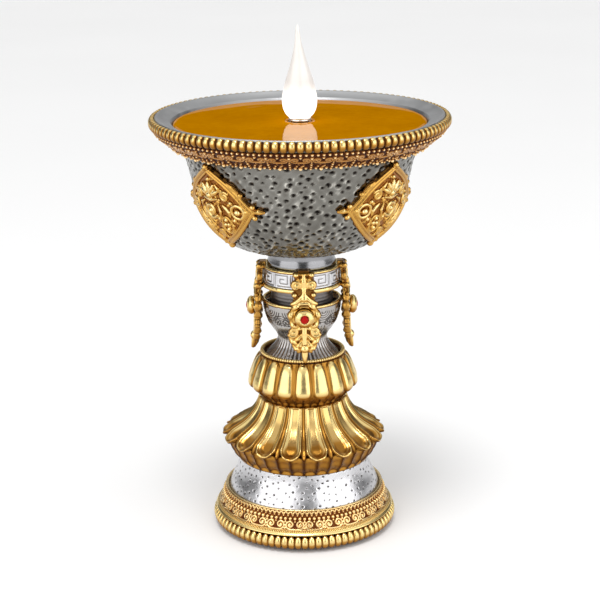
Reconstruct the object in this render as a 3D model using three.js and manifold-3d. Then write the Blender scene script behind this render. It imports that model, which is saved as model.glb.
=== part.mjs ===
// Electric butter lamp: a chalice-shaped altar lamp on a lotus stem, with a lift-out battery light.
// Units are millimetres, +Z is up, the origin is the centre of the base's underside, and the front
// faces -Y. Azimuths are counted from the front towards +X.

import * as THREE from 'three';
import { mergeVertices } from 'three/addons/utils/BufferGeometryUtils.js';
import Module from 'manifold-3d';

const wasm = await Module();
wasm.setup();

// ---------------------------------------------------------------- driving dimensions

const RIM_R = 52.5;              // outside of the beaded bowl rim
const FOOT_R = 33.5;             // outside of the beaded foot
const PAD_T = 0.8;               // felt under the foot
const FOOT_TOP = 25.5;           // top of the hammered skirt
const LOTUS_TOP = 48;            // top of the lower lotus
const CUP_TOP = 64.3;            // top edge of the upper lotus
const VASE_TOP = 84;             // top edge of the neck vase
const DRUM_BOTTOM = 89.7;
const DRUM_TOP = 97.4;
const DRUM_R = 14.3;
const BOWL_BOTTOM = 103.5;
const BOWL_TOP = 151.6;
const BUTTER_TOP = 148.5;
const BUTTER_R = 44.1;
const BUTTER_T = 3.1;
const FLAME_TOP = 181.6;

const SEAM = 0.1;                // gap left where two fixed pieces meet
const ROD_R = 3;                 // M6 stem rod
const ROD_HOLE_R = 3.35;
const PETALS = 18;               // petals round each lotus

const CELL_R = 5.25;             // AAA cell
const CELL_LENGTH = 44.5;
const CELL_PITCH = 11;
const CELL_Z = 125.2;
const PUCK_BOTTOM = 117;         // underside of the light unit's housing
const PUCK_FLOOR = 1.5;
const SWITCH_Y = -24;
const SWITCH_TRAVEL = 3;

const COARSE = 32;               // facets round the large rings
const MEDIUM = 24;               // facets round the stem
const FINE = 16;                 // facets round small turned pieces

// ---------------------------------------------------------------- materials

const finish = (color, roughness, metalness) => new THREE.MeshStandardMaterial({ color, roughness, metalness });
const gold = finish(0xd9a441, 0.3, 1);
const antiqueGold = finish(0x9a6420, 0.45, 1);
const silver = finish(0xc4c6c8, 0.25, 1);
const pewter = finish(0x85898b, 0.4, 1);
const darkPewter = finish(0x6f6a66, 0.45, 1);
const steel = finish(0xb8bbbd, 0.35, 1);
const chrome = finish(0xe4e6e8, 0.08, 1);
const felt = finish(0x4c1d1d, 0.95, 0);
const amber = finish(0xc17e0a, 0.15, 0);
const blackPlastic = finish(0x1d1d1f, 0.5, 0);
const glow = finish(0xfffaf0, 0.35, 0);
const ledYellow = finish(0xf4e6a0, 0.4, 0);
const board = finish(0x2f6b3c, 0.5, 0);
const cellWrap = finish(0x2c5f8f, 0.4, 0);
const red = finish(0xc4161a, 0.12, 0);

// ---------------------------------------------------------------- helpers

const group = new THREE.Group();

function add(name, geometry, material, azimuth = 0) {
  const mesh = new THREE.Mesh(geometry, material);
  mesh.name = name;
  mesh.rotation.z = THREE.MathUtils.degToRad(azimuth);
  group.add(mesh);
  return mesh;
}

// A turned piece from a closed outline of [radius, height], listed counter-clockwise.
function turned(outline, facets) {
  const points = outline.map(([r, z]) => new THREE.Vector2(r, z));
  if (outline[0][0] > 0) points.push(points[0].clone());
  return new THREE.LatheGeometry(points, facets).rotateX(Math.PI / 2);
}

function ring(innerR, outerR, low, high, facets) {
  return turned([[innerR, low], [outerR, low], [outerR, high], [innerR, high]], facets);
}

// A solid of revolution that touches the axis at both ends.
function knob(outline, facets) {
  return turned([[0, outline[0][1]], ...outline, [0, outline.at(-1)[1]]], facets);
}

// A ring of round section.
function roundRing(centreR, centreZ, sectionR, sides, facets) {
  const outline = [];
  for (let i = 0; i < sides; i += 1) {
    const angle = ((i + 0.5) / sides) * Math.PI * 2;
    outline.push([centreR + sectionR * Math.cos(angle), centreZ + sectionR * Math.sin(angle)]);
  }
  return turned(outline, facets);
}

// Pushes each vertex of a turned piece outwards by a share of its radius that changes round the axis.
function scallop(geometry, amount) {
  const position = geometry.attributes.position;
  for (let i = 0; i < position.count; i += 1) {
    const x = position.getX(i);
    const y = position.getY(i);
    const factor = 1 + amount(Math.hypot(x, y), position.getZ(i), Math.atan2(x, -y));
    position.setX(i, x * factor);
    position.setY(i, y * factor);
  }
  return geometry;
}

function box(x, y, z, centreX, centreY, centreZ) {
  return new THREE.BoxGeometry(x, y, z).translate(centreX, centreY, centreZ);
}

// A flat outline of [across, up] extruded along -Y, between two distances from the axis.
function plate(outline, near, far, holes = []) {
  const shape = new THREE.Shape(outline.map(([u, z]) => new THREE.Vector2(u, z)));
  holes.forEach(([u, z, r]) => shape.holes.push(new THREE.Path().absarc(u, z, r, 0, Math.PI * 2, true)));
  const solid = new THREE.ExtrudeGeometry(shape, { depth: far - near, bevelEnabled: false, curveSegments: 4 });
  return solid.rotateX(Math.PI / 2).translate(0, -near, 0);
}

function toSolid(geometry) {
  const bare = geometry.clone();
  bare.deleteAttribute('normal');
  bare.deleteAttribute('uv');
  const merged = mergeVertices(bare, 1e-4);
  const mesh = new wasm.Mesh({
    numProp: 3,
    vertProperties: new Float32Array(merged.attributes.position.array),
    triVerts: new Uint32Array(merged.index.array),
  });
  return new wasm.Manifold(mesh);
}

function toGeometry(solid) {
  const mesh = solid.getMesh();
  const geometry = new THREE.BufferGeometry();
  geometry.setAttribute('position', new THREE.BufferAttribute(new Float32Array(mesh.vertProperties), 3));
  geometry.setIndex(new THREE.BufferAttribute(new Uint32Array(mesh.triVerts), 1));
  geometry.computeVertexNormals();
  return geometry;
}

const cut = (body, tool) => toGeometry(toSolid(body).subtract(toSolid(tool)));
const common = (a, b) => toGeometry(toSolid(a).intersect(toSolid(b)));

// Mirrors a half outline of [half width, height], top to bottom, into a closed one.
const mirrored = (half) => [
  ...half.map(([w, z]) => [-w, z]),
  ...half.filter(([w]) => w > 0).reverse().map(([w, z]) => [w, z]),
];

// ---------------------------------------------------------------- foot

function makeFoot() {
  const beadHalf = { wide: 2.2, tall: 2.6 };
  const beadTop = PAD_T + 2 * beadHalf.tall;
  const bandBottom = beadTop + SEAM;
  const bandTop = bandBottom + 1.6;
  const laceTop = bandTop + 6.5;
  add('base_pad', knob([[28.5, 0], [28.5, PAD_T]], COARSE), felt);
  add('base_plate', knob([[28.6, PAD_T + SEAM], [28.6, 2.2]], COARSE), steel);
  const beadSection = Array.from({ length: 8 }, (_, i) => {
    const turn = (i + 0.5) * Math.PI / 4;
    const reach = 1 / Math.cos(Math.PI / 8);
    const r = FOOT_R - beadHalf.wide * (1 - reach * Math.cos(turn));
    return [r, beadTop - beadHalf.tall * (1 - reach * Math.sin(turn))];
  });
  add('base_bead_ring', turned(beadSection, COARSE), gold);
  const band = [[28.8, bandBottom], [32.6, bandBottom], [32, bandTop - 0.7], [31.4, bandTop], [28.8, bandTop]];
  add('base_band', turned(band, COARSE), gold);
  const lace = [
    [30.2, bandTop + SEAM], [31.5, bandTop + SEAM], [30.1, bandTop + 3.3], [28.9, laceTop],
    [27.5, laceTop], [28.8, bandTop + 3.3],
  ];
  add('base_lace_ring', turned(lace, COARSE), antiqueGold);
  const skirt = [
    [28.4, bandTop + SEAM], [29.9, bandTop + SEAM], [28.5, bandTop + 3.3], [27.2, laceTop], [26.4, 17],
    [24.6, 19.6], [23.7, 22.5], [23.3, FOOT_TOP], [ROD_HOLE_R, FOOT_TOP], [ROD_HOLE_R, FOOT_TOP - 1.4],
    [22.1, FOOT_TOP - 1.4], [22.5, 22], [23.5, 19], [25.4, 16.2],
  ];
  add('base_skirt', turned(skirt, COARSE), silver);
}

// ---------------------------------------------------------------- lotus stem

// Petal tips stand out at the lip of a lotus and fade towards its top and its underside.
function petalWave(lipR, lipZ, fade, depth, phase) {
  return (r, z, azimuth) => {
    const away = Math.abs(z - lipZ) / fade;
    if (r < lipR * 0.62 || away >= 1) return 0;
    return -depth * (1 - away) * 0.5 * (1 - Math.cos(azimuth * PETALS + phase));
  };
}

function makeLowerLotus() {
  const outline = [
    [21.8, FOOT_TOP + SEAM], [24, FOOT_TOP + SEAM], [26.7, 28.6], [28.2, 31.6], [28.4, 33.2], [26.5, 36],
    [22, 38.8], [18.6, 42], [16.3, 46], [15.8, LOTUS_TOP], [ROD_HOLE_R, LOTUS_TOP],
    [ROD_HOLE_R, LOTUS_TOP - 1.6], [14.2, LOTUS_TOP - 1.6], [14.7, 45], [17, 40.6], [20.6, 37.2],
    [24.6, 34.4], [26, 32.4], [25, 29.4],
  ];
  add('lower_lotus', scallop(turned(outline, PETALS * 2), petalWave(28.4, 33.2, 5, 0.05, Math.PI)), gold);
}

function makeUpperLotus() {
  const outline = [
    [ROD_HOLE_R, LOTUS_TOP + SEAM], [15.8, LOTUS_TOP + SEAM], [18.4, 51], [19.4, 53.4], [19.4, 55.2],
    [18.1, 59], [16.2, 63], [15.2, CUP_TOP], [13.8, CUP_TOP], [13.8, 62.7], [12.2, 62.7], [14.6, 60],
    [16.6, 56], [16.4, 52.4], [13.6, 49.7], [ROD_HOLE_R, 49.7],
  ];
  add('upper_lotus', scallop(turned(outline, PETALS * 2), petalWave(19.4, 54.4, 4, 0.05, 0)), gold);
  add('upper_lotus_rim', roundRing(14.55, CUP_TOP + 0.85, 0.75, 6, MEDIUM), gold);
}

function makeVase() {
  const floor = 62.8;
  const outline = [
    [ROD_HOLE_R, floor], [13.4, floor], [13.4, CUP_TOP], [10.8, 66.5], [9.3, 68.5], [8.8, 70.5],
    [9.4, 72], [11.4, 75], [13.2, 78.6], [13.8, 81], [14.1, VASE_TOP], [13.1, VASE_TOP], [12.7, 81],
    [12, 78.8], [10.3, 75.6], [8.2, 72.4], [7.6, 70.5], [8.2, 68], [9.8, 65.4], [10.4, 64.2],
    [ROD_HOLE_R, 64.2],
  ];
  add('neck_vase', turned(outline, MEDIUM), silver);
  add('vase_lip', roundRing(13.65, VASE_TOP + 0.62, 0.55, 6, MEDIUM), gold);
}

function makeDrum() {
  const core = [[8.6, 76.1], [10, 76.1], [11, 78.2], [11, DRUM_BOTTOM - SEAM], [9.6, DRUM_BOTTOM - SEAM], [9.6, 78.6]];
  add('neck_core', turned(core, MEDIUM), darkPewter);
  const bandLow = DRUM_BOTTOM + 1.5;
  const bandHigh = DRUM_TOP - 0.8;
  const rimLow = [
    [ROD_HOLE_R, DRUM_BOTTOM], [DRUM_R - 0.4, DRUM_BOTTOM], [DRUM_R, DRUM_BOTTOM + 0.7],
    [DRUM_R - 0.2, bandLow], [ROD_HOLE_R, bandLow],
  ];
  add('drum_lower_rim', turned(rimLow, MEDIUM), gold);
  add('drum_band', ring(12.2, 13.6, bandLow + SEAM, bandHigh - SEAM, MEDIUM), silver);
  const rimHigh = [[10.2, bandHigh], [13.4, bandHigh], [13.8, bandHigh + 0.4], [13.5, DRUM_TOP], [10.2, DRUM_TOP]];
  add('drum_top_rim', turned(rimHigh, MEDIUM), gold);
  const collar = [
    [9.2, DRUM_TOP + SEAM], [12.2, DRUM_TOP + SEAM], [12.1, 99], [11.6, 100.8], [12, BOWL_BOTTOM - SEAM],
    [9.2, BOWL_BOTTOM - SEAM],
  ];
  add('neck_collar', turned(collar, MEDIUM), silver);
}

function hexNut(low) {
  const across = 5.77;
  const height = 5;
  const body = new THREE.CylinderGeometry(across, across, height, 6).rotateX(Math.PI / 2).translate(0, 0, low + height / 2);
  const bore = new THREE.CylinderGeometry(ROD_R + 0.12, ROD_R + 0.12, height + 2, FINE);
  return cut(body, bore.rotateX(Math.PI / 2).translate(0, 0, low + height / 2));
}

function makeTieRod() {
  const washerT = 1.2;
  const lowerWasher = FOOT_TOP - 1.4 - SEAM - washerT;
  const upperWasher = BOWL_BOTTOM + 1.5 + SEAM;
  add('stem_washer_lower', ring(ROD_HOLE_R, 6.8, lowerWasher, lowerWasher + washerT, FINE), steel);
  add('stem_nut_lower', hexNut(lowerWasher - SEAM - 5), steel);
  add('stem_washer_upper', ring(ROD_HOLE_R, 6.8, upperWasher, upperWasher + washerT, FINE), steel);
  add('stem_nut_upper', hexNut(upperWasher + washerT + SEAM), steel);
  const rodEnds = [16.5, 112.8];
  const chamfer = 0.6;
  const rod = [
    [ROD_R - chamfer, rodEnds[0]], [ROD_R, rodEnds[0] + chamfer], [ROD_R, rodEnds[1] - chamfer],
    [ROD_R - chamfer, rodEnds[1]],
  ];
  add('stem_tie_rod', knob(rod, FINE), steel);
}

// ---------------------------------------------------------------- strap ornaments

// The straps hook over the drum and hang free past the neck vase, kicking outwards at the tip.
function strapSolid() {
  const outer = [[14.9, 98.4], [15.4, 95], [16.2, 91], [17, 87], [17.3, 80], [17.5, 75.5], [18.1, 71.5], [18.8, 68], [18.8, 66]];
  const inner = [
    [17, 65.9], [16, 68], [15.2, 71.5], [14.6, 75.5], [14.45, 80], [14.55, 87], [14.75, 91.6], [14.1, 92.6],
    [14.1, 97.8], [12.6, 97.8], [12.6, 100.2], [14, 100.2], [14, 98.9],
  ];
  const shape = new THREE.Shape([...outer, ...inner].map(([r, z]) => new THREE.Vector2(r, z)));
  const wide = 14;
  const side = new THREE.ExtrudeGeometry(shape, { depth: wide, bevelEnabled: false });
  side.rotateX(Math.PI / 2).rotateZ(-Math.PI / 2).translate(wide / 2, 0, 0);
  const half = [
    [2, 101], [2, 98.6], [3.3, 98.3], [3.9, 96.6], [3.7, 94.2], [4.4, 92.4], [3.9, 89.6], [4.7, 87], [5.6, 83],
    [5.3, 80.2], [3.9, 78.4], [5.7, 76.8], [5.5, 74.8], [4.6, 73.6], [4.8, 72], [3.8, 70.1], [1.7, 69], [1.1, 66.8],
    [0, 65.5],
  ];
  const curls = [[-2.6, 90.9, 0.7], [2.6, 90.9, 0.7], [-2.9, 76.6, 0.8], [2.9, 76.6, 0.8]];
  return common(side, plate(mirrored(half), 5, 30, curls));
}

function makeOrnaments() {
  const bossZ = 82;
  const strap = strapSolid();
  const bossOutline = [[1.3, 0], [3.1, 0], [3.3, 0.7], [2.9, 1.3], [2.1, 1.75], [1.3, 1.75]];
  const gemOutline = [[1.15, 0.3], [1.15, 1.6], [0.7, 2.1]];
  const outwards = (geometry, distance) => geometry.rotateX(Math.PI / 2).translate(0, -distance, bossZ);
  ['front', 'right', 'back', 'left'].forEach((side, i) => {
    const azimuth = i * 90;
    add(`strap_${side}`, strap.clone(), gold, azimuth);
    add(`boss_${side}`, outwards(turned(bossOutline, 12), 17.35), gold, azimuth);
    add(`gem_${side}`, outwards(knob(gemOutline, 8), 17.35), red, azimuth);
  });
}

// ---------------------------------------------------------------- bowl

const bowlOuter = [
  [14, BOWL_BOTTOM], [21.7, 105.1], [28.6, 108.6], [33.6, 115], [36.6, 123], [38.5, 131], [41, 139],
  [44.5, 142.2], [50.3, 147],
];

function makeBowl() {
  const inner = [
    [49.6, BOWL_TOP], [44.5, BUTTER_TOP + 0.2], [44.5, 145.2], [42.3, 145.2], [39.4, 139.5], [37, 131],
    [35, 123], [31.8, 115.6], [27.2, 110], [21.2, 106.6], [14, 105], [ROD_HOLE_R, 105],
  ];
  const outline = [[ROD_HOLE_R, BOWL_BOTTOM], ...bowlOuter, [50.3, BOWL_TOP], ...inner];
  add('bowl', turned(outline, COARSE), pewter);
  const beadInner = 50.3 + SEAM;
  const beads = [
    [beadInner, 147.1], [RIM_R - 0.7, 147.1], [RIM_R, 148.1], [RIM_R, 149.9], [RIM_R - 0.7, 150.9], [beadInner, 150.9],
  ];
  add('bowl_rim_beads', turned(beads, COARSE), gold);
  const lace = [
    [42.75, 140.25], [43.4, 140.25], [45.3, 141.8], [50.1, 145.8], [50.1, 146.6], [44.5, 142],
  ];
  add('bowl_rim_lace', turned(lace, COARSE), antiqueGold);
}

// Each plaque is a lozenge that follows the bowl's side.
function makePlaques() {
  const proud = 2.2;
  const inside = bowlOuter.slice(1, -2).map(([r, z]) => [r + 0.3, z - 0.1]);
  const outside = inside.map(([r, z]) => [r + proud, z - 0.6]).reverse();
  const skin = turned([...inside, ...outside].reverse(), COARSE);
  const lozenge = mirrored([
    [0, 138.7], [1.8, 138], [3.6, 136.2], [9.8, 131.8], [14.8, 127], [17, 124.2], [15.4, 120.6], [10, 114.8],
    [3.4, 110.6], [1.6, 109.2], [0, 108.4],
  ]);
  [-130.5, -49.5, 49.5, 130.5].forEach((azimuth) => {
    const sector = plate(lozenge, 10, 60).rotateZ(THREE.MathUtils.degToRad(azimuth));
    const side = azimuth < 0 ? 'left' : 'right';
    const end = Math.abs(azimuth) < 90 ? 'front' : 'back';
    add(`plaque_${end}_${side}`, common(skin, sector), gold);
  });
}

// ---------------------------------------------------------------- lift-out light unit

function makePuck() {
  const butterLow = BUTTER_TOP - BUTTER_T;
  const wellR = 4.3;
  add('butter_disc', ring(wellR, BUTTER_R, butterLow, BUTTER_TOP, COARSE), amber);
  const wall = 1.5;
  const top = butterLow - SEAM;
  const shell = [
    [0, PUCK_BOTTOM], [32, PUCK_BOTTOM], [34, top - 2], [38, top - 2], [38, top], [34 - wall, top],
    [32 - wall, PUCK_BOTTOM + PUCK_FLOOR], [0, PUCK_BOTTOM + PUCK_FLOOR],
  ];
  const doorX = 51;
  const doorY = 35.5;
  const through = 4;
  const window_ = box(doorX, doorY, through, 0, 0, PUCK_BOTTOM);
  const slot = box(7.8, 3.6, through, 0, SWITCH_Y, PUCK_BOTTOM);
  const withDoor = cut(turned(shell, MEDIUM), window_);
  add('puck_housing', toGeometry(toSolid(withDoor).subtract(toSolid(slot))), blackPlastic);
  const doorGap = 0.4;
  const screwX = 21;
  const door = box(doorX - 2 * doorGap, doorY - 2 * doorGap, 1.4, 0, 0, PUCK_BOTTOM + 0.7);
  const holeAt = (x) => new THREE.CylinderGeometry(1.2, 1.2, through, 10).rotateX(Math.PI / 2).translate(x, 0, PUCK_BOTTOM);
  const oneHole = toSolid(door).subtract(toSolid(holeAt(screwX)));
  add('battery_door', toGeometry(oneHole.subtract(toSolid(holeAt(-screwX)))), blackPlastic);
  const screw = [[2, -0.9], [2, -0.2], [0.9, -0.1], [0.9, 1.5]];
  add('door_screw_left', knob(screw, 10).translate(-screwX, 0, PUCK_BOTTOM), steel);
  add('door_screw_right', knob(screw, 10).translate(screwX, 0, PUCK_BOTTOM), steel);
}

function makeCells() {
  ['front', 'middle', 'back'].forEach((place, i) => {
    const cell = [
      [CELL_R - 0.4, -CELL_LENGTH / 2], [CELL_R, 0.4 - CELL_LENGTH / 2], [CELL_R, CELL_LENGTH / 2 - 1.6],
      [1.9, CELL_LENGTH / 2 - 1.2], [1.9, CELL_LENGTH / 2],
    ];
    const geometry = knob(cell, 14).rotateY(i % 2 ? Math.PI / 2 : -Math.PI / 2);
    add(`cell_${place}`, geometry.translate(0, (i - 1) * CELL_PITCH, CELL_Z), cellWrap);
  });
  const endX = CELL_LENGTH / 2 + 0.3;
  const stripT = 0.5;
  add('contact_strip_left', box(stripT, 31, 7, -endX - stripT / 2, 0, CELL_Z), chrome);
  add('contact_strip_right', box(stripT, 31, 7, endX + stripT / 2, 0, CELL_Z), chrome);
  const holderX = endX + stripT + SEAM;
  const holderWall = 1.3;
  const roof = CELL_Z + CELL_R + 0.3;
  const foot = PUCK_BOTTOM + 1.6;
  const arch = new THREE.Shape([
    [-holderX - holderWall, foot], [-holderX, foot], [-holderX, roof], [holderX, roof], [holderX, foot],
    [holderX + holderWall, foot], [holderX + holderWall, roof + holderWall], [-holderX - holderWall, roof + holderWall],
  ].map(([x, z]) => new THREE.Vector2(x, z)));
  const holder = new THREE.ExtrudeGeometry(arch, { depth: 33, bevelEnabled: false });
  add('cell_holder', holder.rotateX(Math.PI / 2).translate(0, 16.5, 0), blackPlastic);
}

function makeElectrics() {
  const socket = [
    [0, 133.4], [8, 133.4], [8, 135], [4, 135], [4, BUTTER_TOP], [3.2, BUTTER_TOP], [3.2, 135.4], [0, 135.4],
  ];
  add('flame_socket', turned(socket, FINE), chrome);
  add('driver_board', box(24, 1.6, 11, 0, 21.5, 126), board);
  const knobTop = PUCK_BOTTOM + PUCK_FLOOR;
  const knobX = -SWITCH_TRAVEL / 2;
  add('switch_body', box(13, 6.5, 5, 0, SWITCH_Y + 0.2, knobTop + 0.3 + 2.5), blackPlastic);
  const knobLow = PUCK_BOTTOM - 1.6;
  const knobHigh = knobTop;
  add('switch_knob', box(4, 2.8, knobHigh - knobLow, knobX, SWITCH_Y, (knobHigh + knobLow) / 2), glow);
}

function makeFlame() {
  const bulbBottom = 149.7;
  const outline = [
    [2.6, bulbBottom], [3.85, bulbBottom], [5.57, 152], [6.12, 156.1], [5.64, 159.2], [4.82, 162.5],
    [3.13, 167.8], [2, 172], [1.07, 176.2], [0.6, 180.6], [0, FLAME_TOP], [0, 170], [2.1, 167], [4.4, 159],
    [5, 156], [4.5, 152.8], [2.6, 151.2],
  ];
  const points = outline.map(([r, z]) => new THREE.Vector2(r, z));
  points.push(points[0].clone());
  const diffuser = openBottom(points);
  add('flame_diffuser', diffuser, glow);
  add('flame_collar', ring(2.4, 4, BUTTER_TOP + SEAM, bulbBottom - SEAM, FINE), chrome);
  add('flame_plug', knob([[2.2, 136], [2.2, 137], [2.9, 138], [2.9, BUTTER_TOP - 0.3], [2.2, BUTTER_TOP], [2.2, 149.6]], FINE), blackPlastic);
  add('flame_led', knob([[1.5, 149.8], [1.5, 154.5], [0.8, 155.6]], 10), ledYellow);
}

// The diffuser is a teardrop shell whose hollow opens at its foot.
function openBottom(points) {
  const top = points.findIndex((p) => p.x === 0);
  const skin = new THREE.LatheGeometry([new THREE.Vector2(0, points[0].y), ...points.slice(1, top + 1)], FINE);
  const hollow = points.slice(top + 1, -1).reverse();
  const floor = new THREE.Vector2(0, points[0].y - 1);
  const mouth = new THREE.Vector2(points[0].x, points[0].y - 1);
  const core = new THREE.LatheGeometry([floor, mouth, ...hollow], FINE);
  return cut(skin.rotateX(Math.PI / 2), core.rotateX(Math.PI / 2));
}

makeFoot();
makeLowerLotus();
makeUpperLotus();
makeVase();
makeDrum();
makeTieRod();
makeOrnaments();
makeBowl();
makePlaques();
makePuck();
makeCells();
makeElectrics();
makeFlame();

export default group;
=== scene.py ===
"""Looks of the electric butter lamp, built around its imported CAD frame.

Outlines and reliefs below are in millimetres, in the CAD frame: +Z up, front towards -Y, azimuth 0 at the
front and growing towards +X. Meshes are scaled to metres as they are made.
"""

import math

import bpy
import numpy as np
from mathutils import Matrix, Vector


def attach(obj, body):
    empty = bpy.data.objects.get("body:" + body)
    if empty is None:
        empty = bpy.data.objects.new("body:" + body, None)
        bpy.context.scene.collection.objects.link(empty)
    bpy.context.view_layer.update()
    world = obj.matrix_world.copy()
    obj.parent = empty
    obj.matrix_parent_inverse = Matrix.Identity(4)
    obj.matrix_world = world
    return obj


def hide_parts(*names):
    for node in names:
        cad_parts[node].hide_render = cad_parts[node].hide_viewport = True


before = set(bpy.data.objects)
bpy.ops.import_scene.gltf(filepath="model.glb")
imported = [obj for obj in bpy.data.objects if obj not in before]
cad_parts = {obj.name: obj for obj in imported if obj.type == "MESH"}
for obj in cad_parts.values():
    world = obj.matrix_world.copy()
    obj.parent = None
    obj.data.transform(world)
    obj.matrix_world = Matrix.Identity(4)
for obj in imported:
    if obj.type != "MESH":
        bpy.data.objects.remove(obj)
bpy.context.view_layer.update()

MM = 0.001
TAU = 2 * math.pi
PETALS = 18
ROD_HOLE = 3.4                              # radius of the hole for the stem rod
BOSS_Z, BOSS_R = 82, 17.35                  # height of the bosses, and where they sit on the straps
ROD_SIDES, ROD_DOME = 10, (28, 55, 80)      # facets of a cast rod, and the latitudes of its rounded end
BALL_SIDES = 14
UNIT_BOTTOM, SCREW_X, SWITCH_Y = 117, 21, -24       # the light unit's underside, and what is set into it
MELT_VOXEL, MELT_SMOOTHING = 0.16, 2        # how finely castings are melted together, in mm and passes
SIDES = {"front": 0, "right": 90, "back": 180, "left": -90}
PLAQUES = {"front_left": -49.5, "front_right": 49.5, "back_left": -130.5, "back_right": 130.5}


# ------------------------------------------------------------------ outlines

def spline(points, step):
    """A smooth line through 2-D points, sampled about step apart."""
    p = np.array(points, float)
    along = distances(p)
    slope = np.gradient(p, along, axis=0)
    count = max(2, round(along[-1] / step) + 1)
    at = np.linspace(0, along[-1], count)
    i = np.clip(np.searchsorted(along, at, side="right") - 1, 0, len(p) - 2)
    h = (along[i + 1] - along[i])[:, None]
    u = ((at - along[i]) / h[:, 0])[:, None]
    return (
        (2 * u**3 - 3 * u**2 + 1) * p[i]
        + (u**3 - 2 * u**2 + u) * h * slope[i]
        + (3 * u**2 - 2 * u**3) * p[i + 1]
        + (u**3 - u**2) * h * slope[i + 1]
    )


def distances(points):
    """How far along a line each of its points lies."""
    return np.r_[0, np.cumsum(np.linalg.norm(np.diff(points, axis=0), axis=1))]


def line(points, step):
    """Straight runs through 2-D points, sampled about step apart."""
    p = np.array(points, float)
    out = [p[0]]
    for a, b in zip(p[:-1], p[1:]):
        count = max(1, round(float(np.linalg.norm(b - a)) / step))
        out.extend(a + (b - a) * k / count for k in range(1, count + 1))
    return np.array(out)


def rounded(points, radius, step, closed=True):
    """A polygon with its corners rounded off, sampled about step apart."""
    p = np.array(points, float)
    n = len(p)
    out = []
    for k in range(n):
        if not closed and k in (0, n - 1):
            out.append(p[k])
            continue
        before, here, after = p[k - 1], p[k], p[(k + 1) % n]
        a = before - here
        b = after - here
        cut = min(radius, 0.45 * np.linalg.norm(a), 0.45 * np.linalg.norm(b))
        a = here + a / np.linalg.norm(a) * cut
        b = here + b / np.linalg.norm(b) * cut
        for u in (0, 0.25, 0.5, 0.75, 1):
            out.append((1 - u) ** 2 * a + 2 * u * (1 - u) * here + u**2 * b)
    if closed:
        out.append(out[0])
    fine = line(out, step)
    return fine[:-1] if closed else fine


def joined(*lines):
    """Outlines end to end, without the doubled points."""
    out = [np.array(lines[0], float)]
    for nxt in lines[1:]:
        nxt = np.array(nxt, float)
        out.append(nxt[1:] if np.linalg.norm(nxt[0] - out[-1][-1]) < 1e-6 else nxt)
    return np.vstack(out)


# ------------------------------------------------------------------ meshes

def new_object(name, verts, faces, tone=None, smooth=True):
    """A mesh object from millimetre points. tone is 0 in a dark recess and 1 on a polished crest; on some
    pieces it also carries painted shade and painted highlight.
    """
    mesh = bpy.data.meshes.new(name)
    mesh.from_pydata((np.asarray(verts) * MM).tolist(), [], [list(map(int, f)) for f in faces])
    mesh.polygons.foreach_set("use_smooth", [smooth] * len(mesh.polygons))
    layer = mesh.attributes.new("tone", "FLOAT", "POINT")
    values = np.ones(len(mesh.vertices)) if tone is None else np.asarray(tone).ravel()
    layer.data.foreach_set("value", values.astype(np.float32))
    mesh.update()
    obj = bpy.data.objects.new(name, mesh)
    bpy.context.scene.collection.objects.link(obj)
    return obj


def paint_underside_shade(mesh, amount):
    """Darkens the tone of surfaces that face down: painted shade, as from light above."""
    normals = np.empty(len(mesh.vertices) * 3)
    mesh.vertices.foreach_get("normal", normals)
    tone = np.empty(len(mesh.vertices))
    layer = mesh.attributes["tone"].data
    layer.foreach_get("value", tone)
    facing = smoothstep(-0.75, 0.25, normals.reshape(-1, 3)[:, 2])
    layer.foreach_set("value", (tone * (1 - amount + amount * facing)).astype(np.float32))


def finish_piece(obj, material, *nodes, body="chalice"):
    slot = next(name for name, finishes in SLOTS.items() if material in finishes)
    # gilt pieces get painted shade on their down-facing surfaces
    if slot == "gold":
        paint_underside_shade(obj.data, 0.45)
    obj.data.materials.clear()
    obj.data.materials.append(material)
    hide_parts(*nodes)
    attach(obj, body)
    return obj


def grid_faces(rows, columns, wrap_rows):
    i, j = np.meshgrid(np.arange(rows if wrap_rows else rows - 1), np.arange(columns), indexing="ij")
    i1 = (i + 1) % rows
    j1 = (j + 1) % columns
    quads = np.stack([i * columns + j, i * columns + j1, i1 * columns + j1, i1 * columns + j], axis=-1)
    return quads.reshape(-1, 4).tolist()


def around_axis(azimuth, radius, level):
    """Points at an azimuth, a radius and a height."""
    return np.stack([radius * np.sin(azimuth), -radius * np.cos(azimuth), level], axis=-1)


def turned_mesh(outline, columns, relief=None):
    """Points, faces and tone of a turned piece. The outline is counter-clockwise in (radius, height): closed,
    or from the axis to the axis. relief(azimuth, along, radius, height) gives the height in mm added along
    the outline's normal, and the tone."""
    outline = np.array(outline, float)
    poles = outline[0, 0] < 1e-6
    ends = outline[[0, -1]]
    if poles:
        outline = outline[1:-1]
        around = np.vstack([ends[0], outline, ends[1]])
        tangent = around[2:] - around[:-2]
    else:
        tangent = np.roll(outline, -1, axis=0) - np.roll(outline, 1, axis=0)
    tangent /= np.maximum(np.linalg.norm(tangent, axis=1), 1e-9)[:, None]
    along = distances(outline)[:, None]
    azimuth = (np.arange(columns) / columns * TAU)[None, :]
    r = outline[:, 0][:, None]
    z = outline[:, 1][:, None]
    height = np.zeros((len(outline), columns))
    tone = np.ones_like(height)
    if relief:
        h, t = relief(azimuth, along, r, z)
        height = height + h
        tone = tone * t
    radius = r + tangent[:, 1][:, None] * height
    level = z - tangent[:, 0][:, None] * height
    verts = around_axis(azimuth, radius, level).reshape(-1, 3)
    faces = grid_faces(len(outline), columns, not poles)
    tone = tone.ravel()
    if poles:
        low = len(verts)
        verts = np.vstack([verts, [0, 0, ends[0, 1]], [0, 0, ends[1, 1]]])
        last = (len(outline) - 1) * columns
        for j in range(columns):
            k = (j + 1) % columns
            faces.append([low, k, j])
            faces.append([low + 1, last + j, last + k])
        tone = np.r_[tone, tone[0], tone[-1]]
    return verts, faces, tone


def turned(name, outline, columns, material, node, relief=None, body="chalice"):
    obj = new_object(name, *turned_mesh(outline, columns, relief))
    return finish_piece(obj, material, node, body=body)


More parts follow.
